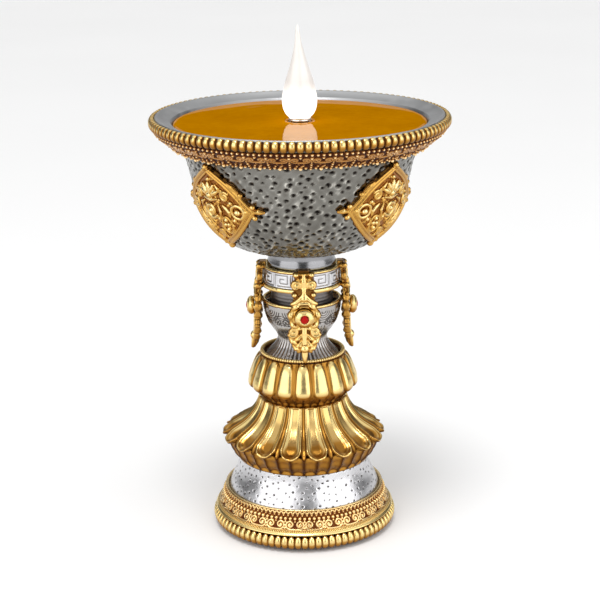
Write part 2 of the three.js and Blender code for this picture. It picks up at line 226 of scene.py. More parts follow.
def cells(azimuth, count, phase=0.0):
    """Where an azimuth lies in its repeat: from -0.5 to 0.5, 0 at the middle."""
    turn = azimuth * count / TAU + phase
    return turn - np.round(turn)


def smoothstep(low, high, value):
    t = np.clip((value - low) / (high - low), 0, 1)
    return t * t * (3 - 2 * t)


def bell(value, width):
    return np.exp(-((value / width) ** 2))


# ------------------------------------------------------------------ relief drawn with strokes

def spiral(x, y, start_r, end_r, start, turns):
    """A spiral that opens from start_r to end_r about (x, y). Angles are in turns; turns < 0 is clockwise."""
    u = np.linspace(0, 1, max(8, int(abs(turns) * 22)))
    angle = (start + turns * u) * TAU
    radius = start_r + (end_r - start_r) * u
    return np.stack([x + radius * np.cos(angle), y + radius * np.sin(angle)], axis=1)


def mirror(path):
    out = np.array(path, float).copy()
    out[:, 0] *= -1
    return out


def stroke_height(x, y, path, radius):
    """The height at points x, y of a round bead laid along a path. radius is a number or one per point."""
    path = np.array(path, float)
    radii = np.broadcast_to(np.asarray(radius, float), len(path))
    out = np.zeros(np.broadcast(x, y).shape)
    if len(path) == 1:
        gap = (x - path[0, 0]) ** 2 + (y - path[0, 1]) ** 2
        return np.sqrt(np.maximum(radii[0] ** 2 - gap, 0))
    for a, b, ra, rb in zip(path[:-1], path[1:], radii[:-1], radii[1:]):
        step = b - a
        length = max(float(step @ step), 1e-9)
        t = np.clip(((x - a[0]) * step[0] + (y - a[1]) * step[1]) / length, 0, 1)
        gap = (x - a[0] - t * step[0]) ** 2 + (y - a[1] - t * step[1]) ** 2
        r = ra + (rb - ra) * t
        np.maximum(out, np.sqrt(np.maximum(r * r - gap, 0)), out=out)
    return out


def tile_relief(strokes, width, high, columns, rows):
    """Heights over one repeat of a band, width by high mm. It joins up with itself left and right."""
    x = ((np.arange(columns) + 0.5) / columns - 0.5) * width
    y = np.linspace(0, high, rows)
    x, y = np.meshgrid(x, y)
    out = np.zeros_like(x)
    for path, radius in strokes:
        for shift in (-width, 0, width):
            moved = np.array(path, float) + [shift, 0]
            np.maximum(out, stroke_height(x, y, moved, radius), out=out)
    return out


def sample_tile(tile, across, up):
    """Tile heights at across from -0.5 to 0.5 and up from 0 to 1."""
    rows, columns = tile.shape
    fx = (across + 0.5) * columns - 0.5
    fy = np.clip(up, 0, 1) * (rows - 1)
    x0 = np.floor(fx).astype(int)
    y0 = np.minimum(np.floor(fy).astype(int), rows - 2)
    tx = fx - x0
    ty = fy - y0
    left, right = x0 % columns, (x0 + 1) % columns
    low = tile[y0, left] * (1 - tx) + tile[y0, right] * tx
    top = tile[y0 + 1, left] * (1 - tx) + tile[y0 + 1, right] * tx
    return low * (1 - ty) + top * ty


# ------------------------------------------------------------------ castings

def capped(rings):
    """Rings of points, in order, joined into one closed skin."""
    sides = len(rings[0])
    faces = grid_faces(len(rings), sides, False)
    faces.append(list(range(sides))[::-1])
    faces.append([(len(rings) - 1) * sides + k for k in range(sides)])
    return np.vstack(rings), faces


def tube(path, radius, flat=1.0):
    """A closed round rod along 3-D points, with rounded ends. flat squashes it along z."""
    path = np.array(path, float)
    n = len(path)
    radii = np.broadcast_to(np.asarray(radius, float), n)
    heading = np.gradient(path, axis=0)
    heading /= np.maximum(np.linalg.norm(heading, axis=1), 1e-9)[:, None]
    side = np.cross(heading, [0, 0, 1])
    side /= np.maximum(np.linalg.norm(side, axis=1), 1e-9)[:, None]
    up = np.cross(side, heading)
    angles = np.arange(ROD_SIDES) / ROD_SIDES * TAU

    def ring(k, shift, scale):
        centre = path[k] + heading[k] * shift
        offset = np.outer(np.cos(angles), side[k]) + np.outer(np.sin(angles), up[k]) * flat
        return centre + offset * radii[k] * scale

    dome = np.radians(ROD_DOME)
    first = [ring(0, -radii[0] * math.sin(a), math.cos(a)) for a in dome[::-1]]
    last = [ring(n - 1, radii[-1] * math.sin(a), math.cos(a)) for a in dome]
    return capped(first + [ring(k, 0, 1) for k in range(n)] + last)


def ball(x, y, z, radius, flat=1.0):
    angles = np.arange(BALL_SIDES) / BALL_SIDES * TAU
    rings = []
    for a in np.radians(np.linspace(-80, 80, 9)):
        r = radius * math.cos(a)
        level = np.full(BALL_SIDES, z + radius * math.sin(a) * flat)
        rings.append(np.stack([x + r * np.cos(angles), y + r * np.sin(angles), level], axis=1))
    return capped(rings)


def slab(outline, low, high):
    """A flat plate with a polygon outline, counter-clockwise."""
    return capped([raised(outline, low), raised(outline, high)])


def raised(path, level):
    """A flat path lifted to a level."""
    path = np.array(path, float)
    return np.c_[path, np.full(len(path), level)]


def cast(solids):
    """Melts closed solids into one skin, as a casting is, and returns its points and faces."""
    verts, faces, start = [], [], 0
    for v, f in solids:
        verts.append(v)
        faces.extend([[k + start for k in face] for face in f])
        start += len(v)
    obj = new_object("melt", np.vstack(verts), faces)
    obj.data.transform(Matrix.Scale(1 / MM, 4))
    remesh = obj.modifiers.new("remesh", "REMESH")
    remesh.mode = "VOXEL"
    remesh.voxel_size = MELT_VOXEL
    soften = obj.modifiers.new("smooth", "SMOOTH")
    soften.factor = 0.5
    soften.iterations = MELT_SMOOTHING
    done = obj.evaluated_get(bpy.context.evaluated_depsgraph_get()).to_mesh()
    points = np.empty(len(done.vertices) * 3)
    done.vertices.foreach_get("co", points)
    skin = [list(p.vertices) for p in done.polygons]
    old = obj.data
    bpy.data.objects.remove(obj)
    bpy.data.meshes.remove(old)
    return points.reshape(-1, 3), skin


# ------------------------------------------------------------------ materials

def colour_ramp(tree, value, stops):
    node = tree.nodes.new("ShaderNodeValToRGB")
    elements = node.color_ramp.elements
    while len(elements) < len(stops):
        elements.new(0.5)
    for element, (at, colour) in zip(elements, stops):
        element.position = at
        element.color = (*colour, 1)
    tree.links.new(value, node.inputs["Fac"])
    return node.outputs["Color"]


def map_range(tree, value, before, after):
    node = tree.nodes.new("ShaderNodeMapRange")
    for socket, number in zip(("From Min", "From Max", "To Min", "To Max"), (*before, *after)):
        node.inputs[socket].default_value = number
    tree.links.new(value, node.inputs["Value"])
    return node.outputs["Result"]


class Nodes:
    """A material with its shader and short calls for the nodes that the finishes share."""

    def __init__(self, name, colour, metallic, roughness):
        self.material = bpy.data.materials.new(name)
        self.material.use_nodes = True
        self.tree = self.material.node_tree
        self.shader = self.tree.nodes["Principled BSDF"]
        self.set("Base Color", (*colour, 1))
        self.set("Metallic", metallic)
        self.set("Roughness", roughness)
        self.place = self.tree.nodes.new("ShaderNodeTexCoord").outputs["Object"]

    def set(self, socket, value):
        self.shader.inputs[socket].default_value = value

    def link(self, output, socket):
        self.tree.links.new(output, socket)

    def noise(self, scale, detail, stretch=None):
        node = self.tree.nodes.new("ShaderNodeTexNoise")
        node.inputs["Scale"].default_value = scale
        node.inputs["Detail"].default_value = detail
        place = self.place
        if stretch:
            mapping = self.tree.nodes.new("ShaderNodeMapping")
            mapping.inputs["Scale"].default_value = stretch
            self.link(place, mapping.inputs["Vector"])
            place = mapping.outputs["Vector"]
        self.link(place, node.inputs["Vector"])
        return node.outputs["Fac"]

    def tone(self):
        node = self.tree.nodes.new("ShaderNodeAttribute")
        node.attribute_name = "tone"
        return node.outputs["Fac"]

    def ramp(self, value, stops):
        return colour_ramp(self.tree, value, stops)

    def grey(self, value, low, high, within=(0.0, 1.0)):
        return map_range(self.tree, value, within, (low, high))

    def add(self, a, b):
        node = self.tree.nodes.new("ShaderNodeMath")
        node.operation = "ADD"
        self.link(a, node.inputs[0])
        self.link(b, node.inputs[1])
        return node.outputs["Value"]

    def multiply(self, a, b):
        node = self.tree.nodes.new("ShaderNodeMix")
        node.data_type = "RGBA"
        node.blend_type = "MULTIPLY"
        node.inputs["Factor"].default_value = 1.0
        self.link(a, node.inputs["A"])
        self.link(b, node.inputs["B"])
        return node.outputs["Result"]

    def bump(self, height, strength, distance):
        node = self.tree.nodes.new("ShaderNodeBump")
        node.inputs["Strength"].default_value = strength
        node.inputs["Distance"].default_value = distance * MM
        self.link(height, node.inputs["Height"])
        self.link(node.outputs["Normal"], self.shader.inputs["Normal"])

    def colour(self, output):
        self.link(output, self.shader.inputs["Base Color"])

    def roughness(self, output):
        self.link(output, self.shader.inputs["Roughness"])

    def mottled(self, scale, detail, dark, light):
        """Soft patches of two colours."""
        self.colour(self.ramp(self.noise(scale, detail), [(0.3, dark), (0.7, light)]))

    def worn(self, scale, detail, low, high, stretch=None):
        """Roughness that wanders between two values."""
        self.roughness(self.grey(self.noise(scale, detail, stretch), low, high, (0.3, 0.7)))


def gilt(name, recess, body, crest, rough):
    """Gilding, polished on the crests and browned in the recesses."""
    m = Nodes(name, body, 1.0, rough[1])
    # the tone holds the recess patina and, on some pieces, painted shade
    worn = m.add(m.tone(), m.grey(m.noise(90, 4), -0.12, 0.12))
    between = tuple(0.45 * a + 0.55 * b for a, b in zip(recess, body))
    m.colour(m.ramp(worn, [(0.0, recess), (0.35, between), (0.7, body), (1.0, crest)]))
    m.roughness(m.grey(worn, rough[0], rough[1]))
    m.bump(m.noise(700, 3), 0.06, 0.1)
    return m.material


def silver(name, dark, light, rough, grain, bump_strength, crest=1.0):
    """Silver plate or pewter, with tarnish that gathers in the recesses. A crest above 1 makes the top of the
    tone brighter than the bare metal: painted highlight.
    """
    m = Nodes(name, light, 1.0, rough)
    tarnish = m.ramp(m.noise(45, 5), [(0.25, dark), (0.75, light)])
    patina_and_highlight = [(0.0, (0.04, 0.032, 0.03)), (0.5, (0.66, 0.64, 0.62)), (0.8, (1, 1, 1)), (1.0, (crest,) * 3)]
    m.colour(m.multiply(tarnish, m.ramp(m.tone(), patina_and_highlight)))
    m.worn(220, 4, rough * 0.75, rough * 1.35)
    m.bump(m.noise(grain, 4), bump_strength, 0.2)
    return m.material


def plain_metal(name, colour, rough):
    m = Nodes(name, colour, 1.0, rough)
    m.mottled(160, 4, [0.82 * c for c in colour], colour)
    m.worn(500, 3, rough * 0.7, rough * 1.4, (1, 1, 6))
    m.bump(m.noise(1500, 2), 0.12, 0.05)
    return m.material


def plastic(name, colour, rough):
    m = Nodes(name, colour, 0.0, rough)
    m.mottled(240, 3, [0.85 * c for c in colour], colour)
    m.worn(900, 2, rough * 0.85, rough * 1.15)
    m.bump(m.noise(2200, 2), 0.2, 0.05)
    return m.material


def felt():
    m = Nodes("felt", (0.12, 0.016, 0.014), 0.0, 0.95)
    m.mottled(2600, 4, (0.05, 0.006, 0.006), (0.2, 0.03, 0.026))
    m.set("Sheen Weight", 0.6)
    m.bump(m.noise(3200, 3), 0.9, 0.2)
    return m.material


def butter():
    """Set amber resin: deep orange, cloudy inside, with a slightly rippled gloss."""
    m = Nodes("butter", (0.5, 0.19, 0.003), 0.0, 0.5)
    clouds = m.add(m.grey(m.noise(55, 5), 0, 0.6), m.grey(m.noise(420, 3), 0, 0.4))
    m.colour(m.ramp(clouds, [(0.3, (0.43, 0.16, 0.0)), (0.55, (0.5, 0.195, 0.0)),
                             (0.75, (0.56, 0.235, 0.001))]))
    m.worn(130, 4, 0.45, 0.6)
    m.set("Specular IOR Level", 0.0)
    m.set("Coat Weight", 0.5)
    m.set("Coat IOR", 1.5)
    m.set("Coat Roughness", 0.03)
    m.bump(m.noise(260, 4), 0.02, 0.1)
    return m.material


def flame_glow():
    """A milky diffuser that glows most near its foot."""
    m = Nodes("flame_glow", (0.8, 0.78, 0.74), 0.0, 0.22)
    m.mottled(120, 3, (0.68, 0.66, 0.63), (0.76, 0.74, 0.72))
    m.roughness(m.grey(m.noise(300, 2), 0.18, 0.28))
    glow = m.ramp(m.tone(), [(0.0, (0.065, 0.063, 0.06)), (1.0, (1.0, 0.97, 0.9))])
    m.link(glow, m.shader.inputs["Emission Color"])
    m.set("Emission Strength", 1.6)
    m.set("Coat Weight", 0.4)
    m.set("Coat Roughness", 0.05)
    return m.material


def red_glass():
    m = Nodes("red_glass", (0.6, 0.01, 0.008), 0.0, 0.2)
    m.mottled(900, 3, (0.34, 0.003, 0.001), (0.48, 0.006, 0.003))
    m.roughness(m.grey(m.noise(500, 2), 0.16, 0.26))
    m.set("Specular IOR Level", 0.12)
    return m.material


GOLD = gilt("gilt", (0.065, 0.018, 0.003), (0.45, 0.215, 0.036), (0.87, 0.67, 0.28), (0.42, 0.25))
STRAP = gilt("strap_gilt", (0.1, 0.028, 0.006), (0.54, 0.29, 0.062), (0.9, 0.67, 0.27), (0.36, 0.19))
RELIEF = gilt("relief_gilt", (0.27, 0.1, 0.02), (0.6, 0.34, 0.075), (0.95, 0.78, 0.38), (0.34, 0.2))
ANTIQUE = gilt("antique_gilt", (0.12, 0.032, 0.01), (0.5, 0.24, 0.055), (0.92, 0.68, 0.32), (0.45, 0.22))
DEEP = gilt("deep_antique_gilt", (0.055, 0.014, 0.006), (0.45, 0.2, 0.05), (0.95, 0.7, 0.36), (0.45, 0.2))
SILVER = silver("silver", (0.56, 0.55, 0.56), (0.7, 0.7, 0.72), 0.28, 260, 0.03)
# crest 2.8 paints the hammered crests brighter than the metal: painted highlight
PEWTER = silver("pewter", (0.125, 0.118, 0.103), (0.255, 0.248, 0.226), 0.21, 420, 0.2, crest=2.8)
POLISHED = silver("polished_pewter", (0.46, 0.47, 0.48), (0.56, 0.57, 0.58), 0.38, 300, 0.05)
ENGRAVED = silver("engraved_silver", (0.3, 0.28, 0.27), (0.52, 0.5, 0.48), 0.26, 500, 0.15)
COLLAR = silver("collar_silver", (0.21, 0.21, 0.22), (0.3, 0.3, 0.31), 0.2, 500, 0.05)
# dark pewter for the core tube in the gap under the drum: its darkness paints the shadow there
GAP_SHADOW_PEWTER = silver("dark_pewter", (0.1, 0.09, 0.09), (0.26, 0.24, 0.23), 0.45, 500, 0.3)
STEEL = plain_metal("zinc_steel", (0.6, 0.61, 0.62), 0.35)
CHROME = plain_metal("chrome", (0.8, 0.81, 0.82), 0.07)
BLACK = plastic("black_plastic", (0.028, 0.028, 0.03), 0.45)
WHITE = plastic("white_plastic", (0.8, 0.79, 0.75), 0.35)
BOARD = plastic("circuit_board", (0.03, 0.2, 0.07), 0.4)
WRAP = plastic("cell_wrap", (0.03, 0.12, 0.3), 0.3)
LED = plastic("led", (0.85, 0.75, 0.35), 0.2)
FELT = felt()
BUTTER = butter()
GLOW = flame_glow()
RED = red_glass()
SLOTS = {
    "gold": (GOLD, STRAP, RELIEF), "antique_gold": (ANTIQUE, DEEP), "silver": (SILVER, ENGRAVED, COLLAR),
    "pewter": (PEWTER,), "dark_pewter": (GAP_SHADOW_PEWTER,), "steel": (STEEL,), "chrome": (CHROME,), "felt": (FELT,),
    "butter": (BUTTER,), "black_plastic": (BLACK,), "white_plastic": (WHITE,), "flame": (GLOW,), "gem": (RED,),
}


# ------------------------------------------------------------------ foot

def gadroon(count, depth, taper=0.0, centre_z=0.0, half=1.0, gaps=(0.25, 0.8)):
    """Rounded beads side by side round a ring. taper narrows them towards the top."""
    def relief(azimuth, along, r, z):
        level = np.clip((z - centre_z) / half, -1, 1)
        t = np.abs(cells(azimuth, count)) * 2 * (1 + taper * np.maximum(level, 0))
        fall = 1 - np.sqrt(np.maximum(1 - np.clip(t, 0, 1) ** 2 * 0.97, 0))
        gap = 1 - smoothstep(*gaps, fall)
        return -depth * fall, gap * (0.62 + 0.38 * smoothstep(-0.9, 0.1, level))
    return relief


def make_foot():
    pad = rounded([[0, 0], [28.5, 0], [28.5, 0.8], [0, 0.8]], 0.25, 1.2, closed=False)
    wobble = lambda azimuth, along, r, z: (0.05 * np.sin(azimuth * 31) * np.sin(along * 2), 1)
    turned("base_pad_felt", pad, 160, FELT, "base_pad", wobble)

    angles = (np.arange(24) / 24 - 0.25) * TAU
    oval = np.stack([31.3 + 2.15 * np.cos(angles), 3.4 + 2.58 * np.sin(angles)], axis=1)
    beads = gadroon(84, 0.9, 0.25, 3.4, 2.6)
    turned("base_beads", oval, 84 * 12, GOLD, "base_bead_ring", beads)

    cove = joined(
        [[28.9, 6.12], [32.3, 6.12]],
        spline([[32.3, 6.12], [32.55, 6.3], [32.4, 6.6], [32.0, 6.95], [31.75, 7.25], [31.6, 7.58]], 0.12),
        [[31.3, 7.68], [28.9, 7.68]],
    )

    def milgrain(azimuth, along, r, z):
        zone = bell(z - 7.35, 0.28) * (r > 31)
        dots = 0.5 + 0.5 * np.cos(azimuth * 300)
        return 0.22 * zone * dots, 1 - 0.6 * zone * (1 - dots)
    turned("base_cove", cove, 1500, GOLD, "base_band", milgrain)


def scroll_pair(centre_x, centre_y, size, thick):
    """Two curls side by side in one bracket, open at the top."""
    left = spiral(-centre_x, centre_y, 0.22 * size, size, -0.65, 1.4)
    path = np.vstack([left, [0, centre_y - size * 1.05], mirror(left)[::-1]])
    return [(path, thick), ([[-centre_x, centre_y]], 0.3 * size), ([[centre_x, centre_y]], 0.3 * size)]


def make_base_lace():
    high = 7.0
    count = 27
    width = TAU * 30.2 / count
    half = width / 2
    strokes = scroll_pair(1.72, 2.1, 1.62, 0.42)
    strokes += [([[-half, 0.1], [half, 0.1]], 0.36), ([[half, 0.9]], 0.5), ([[half, 2.0]], 0.42)]
    strokes += [([[x, 4.3]], 0.72) for x in (-half, -half / 2, 0, half / 2)]
    strokes += [([[0, 3.2]], 0.42), ([[half, 3.2]], 0.5)]
    strokes += [([[x, 5.35]], 0.42) for x in (-half * 0.75, -half / 4, half / 4, half * 0.75)]
    strokes += [(spiral(x, 6.0, 0.62, 0.62, 0.0, 0.5), 0.4) for x in (-half, -half / 2, 0, half / 2)]
    tile = tile_relief(strokes, width, high, 44, 56)
    face = line([[31.55, 7.8], [30.15, 11.1], [28.95, 14.25]], 0.165)
    outline = joined([[29.2, 7.8], [31.4, 7.8]], face, [[28.8, 14.3], [27.6, 14.3], [28.7, 11.1]])
    first = 2

    def relief(azimuth, along, r, z):
        on_face = np.zeros_like(along)
        on_face[first:first + len(face)] = 1
        up = (along - along[first]) / (along[first + len(face) - 1] - along[first])
        h = sample_tile(tile, cells(azimuth, count, 0.5), up)
        top_edge = smoothstep(0.9, 1.0, up) * (h < 0.05)
        return on_face * (h * 1.25 - 0.85 - 0.35 * top_edge), 1 - on_face * (1 - smoothstep(0.05, 0.42, h))
    turned("base_filigree", outline, count * 44, ANTIQUE, "base_lace_ring", relief)


def scattered(length, radius_at, spacing, seed):
    """Random places on a turned surface, as (azimuth, along), no two closer than about spacing."""
    rng = np.random.default_rng(seed)
    kept = np.empty((0, 3))
    for _ in range(9000):
        along = rng.uniform(0, length)
        radius = radius_at(along)
        if rng.uniform() > radius / radius_at(length):
            continue
        azimuth = rng.uniform(0, TAU)
        here = np.array([radius * math.sin(azimuth), radius * math.cos(azimuth), along])
        if len(kept):
            nearest = np.min(np.sum((kept - here) ** 2, axis=1))
            if nearest < (spacing * rng.uniform(0.75, 1.25)) ** 2:
                continue
        kept = np.vstack([kept, here])
    return np.arctan2(kept[:, 0], kept[:, 1]) % TAU, kept[:, 2]


def punched(outline, first, last, columns, spacing, hole_r, depth, seed):
    """Small punch marks on the rows first to last of a turned outline: their height and tone."""
    part = outline[first:last]
    along = distances(part)
    radius_at = lambda s: float(np.interp(s, along, part[:, 0]))
    azimuths, places = scattered(along[-1], radius_at, spacing, seed)
    rng = np.random.default_rng(seed + 1)
    height = np.zeros((len(outline), columns))
    tone = np.ones((len(outline), columns))
    for azimuth, place in zip(azimuths, places):
        radius = radius_at(place)
        size = hole_r * rng.uniform(0.75, 1.25)
        rows = np.nonzero(np.abs(along - place) < size * 1.7)[0]
        reach = int(size * 1.7 / radius / TAU * columns) + 2
        middle = round(azimuth / TAU * columns)
        cols = np.arange(middle - reach, middle + reach + 1)
        dx = (cols / columns * TAU - azimuth) * radius
        dy = along[rows] - place
        gap = np.hypot(dx[None, :] * rng.uniform(0.7, 0.95), dy[:, None] * 1.1) / size
        dent = -depth * np.clip(1 - gap**2, 0, 1) + 0.12 * depth * bell(gap - 1.25, 0.28)
        block = np.ix_(rows + first, cols % columns)
        height[block] += dent
        tone[block] = np.minimum(tone[block], smoothstep(0.6, 1.05, gap))
    return height, tone


def planished(azimuth, along, around, step, amount, seed):
    """The shallow overlapping facets that a round hammer leaves."""
    rng = np.random.default_rng(seed)
    out = 0
    for k in range(4):
        a, b, c = rng.uniform(0, TAU, 3)
        m = round(around * (0.6 + 0.25 * k))
        bent = azimuth * m + a + 1.7 * np.sin(along / step * 0.7 + b)
        out = out + np.sin(bent) * np.sin(along / step * (0.8 + 0.3 * k) + c)
    return amount * out / 4


def make_skirt():
    outer = spline([[29.8, 7.9], [28.5, 11.1], [27.3, 14.2], [26.3, 16.8], [24.9, 19.6], [23.9, 22.5],
                    [23.3, 25.4]], 0.3)
    inner = spline([[22.3, 24.4], [22.9, 22], [23.9, 19.2], [25.4, 16.2], [27.4, 11.5], [28.7, 7.9]], 1.2)
    outline = joined(outer, [[22.8, 25.5], [ROD_HOLE, 25.5], [ROD_HOLE, 24.4]], inner)
    columns = 560
    marks, tone = punched(outline, 14, len(outer), columns, 2.4, 0.4, 0.2, 5)

    def relief(azimuth, along, r, z):
        soft = planished(azimuth, along, 34, 1.3, 0.015, 3) * (along < along[len(outer) - 1])
        return marks + soft, tone
    turned("base_skirt_hammered", outline, columns, SILVER, "base_skirt", relief)


# ------------------------------------------------------------------ lotus stem

def flutes(azimuth, count, phase=0.0):
    """Hollow facets with sharp ridges between: 0 in the hollow, 1 on the ridge."""
    t = np.abs(cells(azimuth, count, phase)) * 2
    return t**2


def make_lower_lotus():
    outer = spline([
        [24, 25.6], [25.5, 26.9], [26.7, 28.5], [27.5, 30.4], [28.2, 31.7], [28.4, 33], [27.9, 34.5],
        [26.5, 36],
        [24.5, 37.3], [22, 38.9], [19.5, 41.1], [17.6, 43.6], [16.4, 46], [15.8, 47.9],
    ], 0.27)
    inner = line([[15.2, 48], [ROD_HOLE, 48], [ROD_HOLE, 46.6], [14.2, 46.6], [17, 40.8], [24, 34.4],
                  [25, 30], [22, 25.6]], 2.5)
    outline = joined(outer, inner)
    arc = distances(outer)
    lip = float(np.interp(33.6, outer[:, 1], arc))
    widest, half = 28.4, 0.405              # radius of the lip in mm, and half a petal in repeats
    tip, bend = -0.7, 3.4                   # past the lip in mm: where a petal ends, and where it curves in
    second_tip, second_bend = -1.1, 2.4     # the same for the petals behind

    def relief(azimuth, along, r, z):
        on_face = along <= arc[-1]
        q = along - lip
        u = np.abs(cells(azimuth, PETALS, 0.5))
        shrink = np.clip(r / widest, 0.6, 1)
        end = np.clip((bend - q) / (bend - tip), 0, None)
        w = np.sqrt((u / half) ** 2 + end**2)
        channel = smoothstep(0.35, 0.9, w)
        body = -0.75 + 1.05 * channel + 0.2 * bell(w - 0.93, 0.07) - 0.12 * bell(w - 0.8, 0.05)
        curl = 0.9 * bell(q - 0.2, 1.1) * smoothstep(0.55, 0.95, w)
        primary = body * shrink + curl - 4 * smoothstep(1.0, 1.06, w)
        v = (0.5 - u) / 0.1
        end2 = np.clip((second_bend - q) / (second_bend - second_tip), 0, None)
        w2 = np.sqrt(v**2 + end2**2.4)
        second = (-0.5 + 0.25 * smoothstep(0.2, 0.9, w2)) * shrink + 0.3 * bell(q + 0.4, 0.8)
        second = second - 4 * smoothstep(1.0, 1.1, w2)
        ridge = flutes(azimuth, PETALS * 2, 0.5)
        under = np.where(q < 0.5, -1.2 + 0.8 * ridge, -1.7)
        under = under * smoothstep(0, 0.8, along)
        h = np.maximum(np.maximum(primary, second), under)
        lines = 1 - 0.55 * bell(w - 0.8, 0.035) - 0.85 * smoothstep(0.95, 1.01, w)
        # darker down each channel's deep middle (patina), darker near the lip and lighter up the petal:
        # painted shade
        channel_patina_and_shade = 0.42 + 0.5 * smoothstep(0.35, 0.85, w) + 0.45 * smoothstep(1.5, 8, q)
        front = (w < 1.03) * lines * np.clip(channel_patina_and_shade, 0, 1)
        crest = np.maximum(front, (w2 < 1.05) * (0.7 - 0.7 * smoothstep(0.3, 0.85, w2)))
        shade = np.where(q < 0.5, 0.68 - 0.66 * smoothstep(0.1, 0.9, ridge), 0.0)
        tone = np.maximum(crest, shade * (h <= under + 0.05))
        return np.where(on_face, h, 0), np.where(on_face, tone, 1)
    turned("lower_lotus_petals", outline, PETALS * 40, GOLD, "lower_lotus", relief)


def make_upper_lotus():
    outer = spline([
        [14.6, 48.15], [15.9, 48.8], [17.4, 50.2], [18.5, 51.7], [19.1, 53.2], [19.35, 54.6], [19.1, 56.2],
        [18.6, 57.6], [18.0, 59.3], [17.2, 61.2], [16.2, 63], [15.3, 64.3],
    ], 0.22)
    inner = line([[13.9, 64.3], [13.8, 62.8], [14.6, 60.5], [16.4, 56], [16.2, 52.6], [13.4, 49.8],
                  [ROD_HOLE, 49.8], [ROD_HOLE, 48.15]], 2)
    outline = joined(outer, inner)
    arc = distances(outer)
    lip = float(np.interp(51.8, outer[:, 1], arc))

    def relief(azimuth, along, r, z):
        on_face = along <= arc[-1]
        q = along - lip
        u = np.abs(cells(azimuth, PETALS))
        end = np.clip((3.4 - q) / 3.4, 0, None)
        high = np.clip((q - 8.6) / 4.6, 0, None)
        half = 0.44 - 0.03 * np.clip((q - 4) / 5, 0, 1.5)
        w = np.sqrt((u / half) ** 2 + end**2.2 + 0.6 * high**3)
        primary = -0.5 + 0.92 * np.sqrt(np.clip(1 - w**2.2, 0, 1)) + 0.35 * bell(q - 1.6, 1.6) * (w < 1)
        primary = primary - 3 * smoothstep(1.0, 1.07, w)
        v = (0.5 - u) / 0.17
        end2 = np.clip((2.6 - q) / 3.6, 0, None)
        w2 = np.sqrt(v**2 + end2**2.2)
        second = -0.75 + 0.4 * np.sqrt(np.clip(1 - w2**2, 0, 1)) - 3 * smoothstep(1.0, 1.1, w2)
        ridge = flutes(azimuth, PETALS * 2, 0.5)
        under = np.where(q < 0, -1.1 + 0.6 * ridge, -1.2) * smoothstep(0, 1.2, along)
        h = np.maximum(np.maximum(primary, second), under)
        crest = np.maximum((w < 1.02) * (1 - 0.9 * smoothstep(0.74, 1.0, w)), (w2 < 1.02) * 0.55)
        shade = np.where(q < 0, 0.58 - 0.56 * smoothstep(0.1, 0.9, ridge), 0.05)
        tone = np.maximum(crest, shade * (h <= under + 0.05))
        fade = smoothstep(arc[-1], arc[-1] - 1.2, along)
        # inside of the cup, seen in the gap round the vase, painted dark: painted shade
        cup_shade = np.where(z > 50.5, 0.12, 1)
        return np.where(on_face, h * fade, 0), np.where(on_face, tone, cup_shade)
    turned("upper_lotus_petals", outline, PETALS * 36, GOLD, "upper_lotus", relief)

    angles = (np.arange(14) / 14 - 0.25) * TAU
    circle = np.stack([14.6 + 0.72 * np.cos(angles), 65.1 + 0.72 * np.sin(angles)], axis=1)
    turned("upper_lotus_beads", circle, 104 * 8, GOLD, "upper_lotus_rim", gadroon(104, 0.32, 0.0, 65.1, 0.7))


def make_vase():
    outer = spline([
        [13.3, 62.9], [13.3, 64], [12.2, 65.2], [10.9, 66.5], [9.5, 68.5], [8.85, 70.5], [9.3, 72],
        [10.7, 74],
        [12.3, 76.5], [13.2, 78.8], [13.75, 81], [14.1, 84],
    ], 0.2)
    inner = line([[13.2, 84], [12.7, 81], [12, 78.8], [10.3, 75.6], [8.2, 72.4], [7.6, 70.5], [8.2, 68],
                  [9.8, 65.4],
                  [10.4, 64.2], [ROD_HOLE, 64.2], [ROD_HOLE, 62.9]], 1.5)
    outline = joined(outer, inner)
    arc = distances(outer)
    belly = float(np.interp(73.0, outer[:, 1], arc))
    high = arc[-1] - belly
    count = 8
    width = TAU * 12.8 / count
    strokes = []
    for size in (0.8, 1.7, 2.6, 3.5, 4.4):
        strokes.append((spiral(0, 10.6, size, size, 0.52, 0.46), 0.23))
        strokes.append((spiral(-width / 2, 4.4, size, size, 0.04, 0.42), 0.23))
    curl = spiral(-3.1, 6.4, 0.3, 1.9, 0.3, 1.7)
    strokes += [(curl, 0.23), (mirror(curl), 0.23)]
    for x in (-1.2, 0, 1.2):
        strokes.append(([[x, 0.4], [1.3 * x, 2.4], [1.1 * x, 4.6]], 0.22))
    tile = tile_relief(strokes, width, high, 66, 60)

    def relief(azimuth, along, r, z):
        on_face = (along <= arc[-1]) * 1.0
        up = (along - belly) / high
        lines = sample_tile(tile, cells(azimuth, count, 0.25), up)
        lines = np.clip(lines * smoothstep(0, 0.08, up) * smoothstep(0.97, 0.9, up) / 0.2, 0, 1)
        foot = smoothstep(73.5, 71.5, z) * smoothstep(63.5, 65, z)
        ribs = np.abs(np.sin(azimuth * 22))
        h = -0.24 * lines - 0.22 * foot * (1 - ribs)
        tone = 1 - 0.92 * lines - 0.75 * foot * (1 - ribs) ** 2
        return on_face * h, np.where(on_face > 0, np.clip(tone, 0, 1), 1)
    turned("neck_vase_engraved", outline, count * 66, ENGRAVED, "neck_vase", relief)

    lip = rounded([[13.15, 84.08], [14.15, 84.08], [14.25, 84.8], [13.7, 85.15], [13.15, 84.9]], 0.3, 0.15)
    uneven = lambda azimuth, along, r, z: (0.03 * np.sin(azimuth * 23) + 0.02 * np.sin(azimuth * 61), 1)
    turned("vase_lip_ring", lip, 320, GOLD, "vase_lip", uneven)


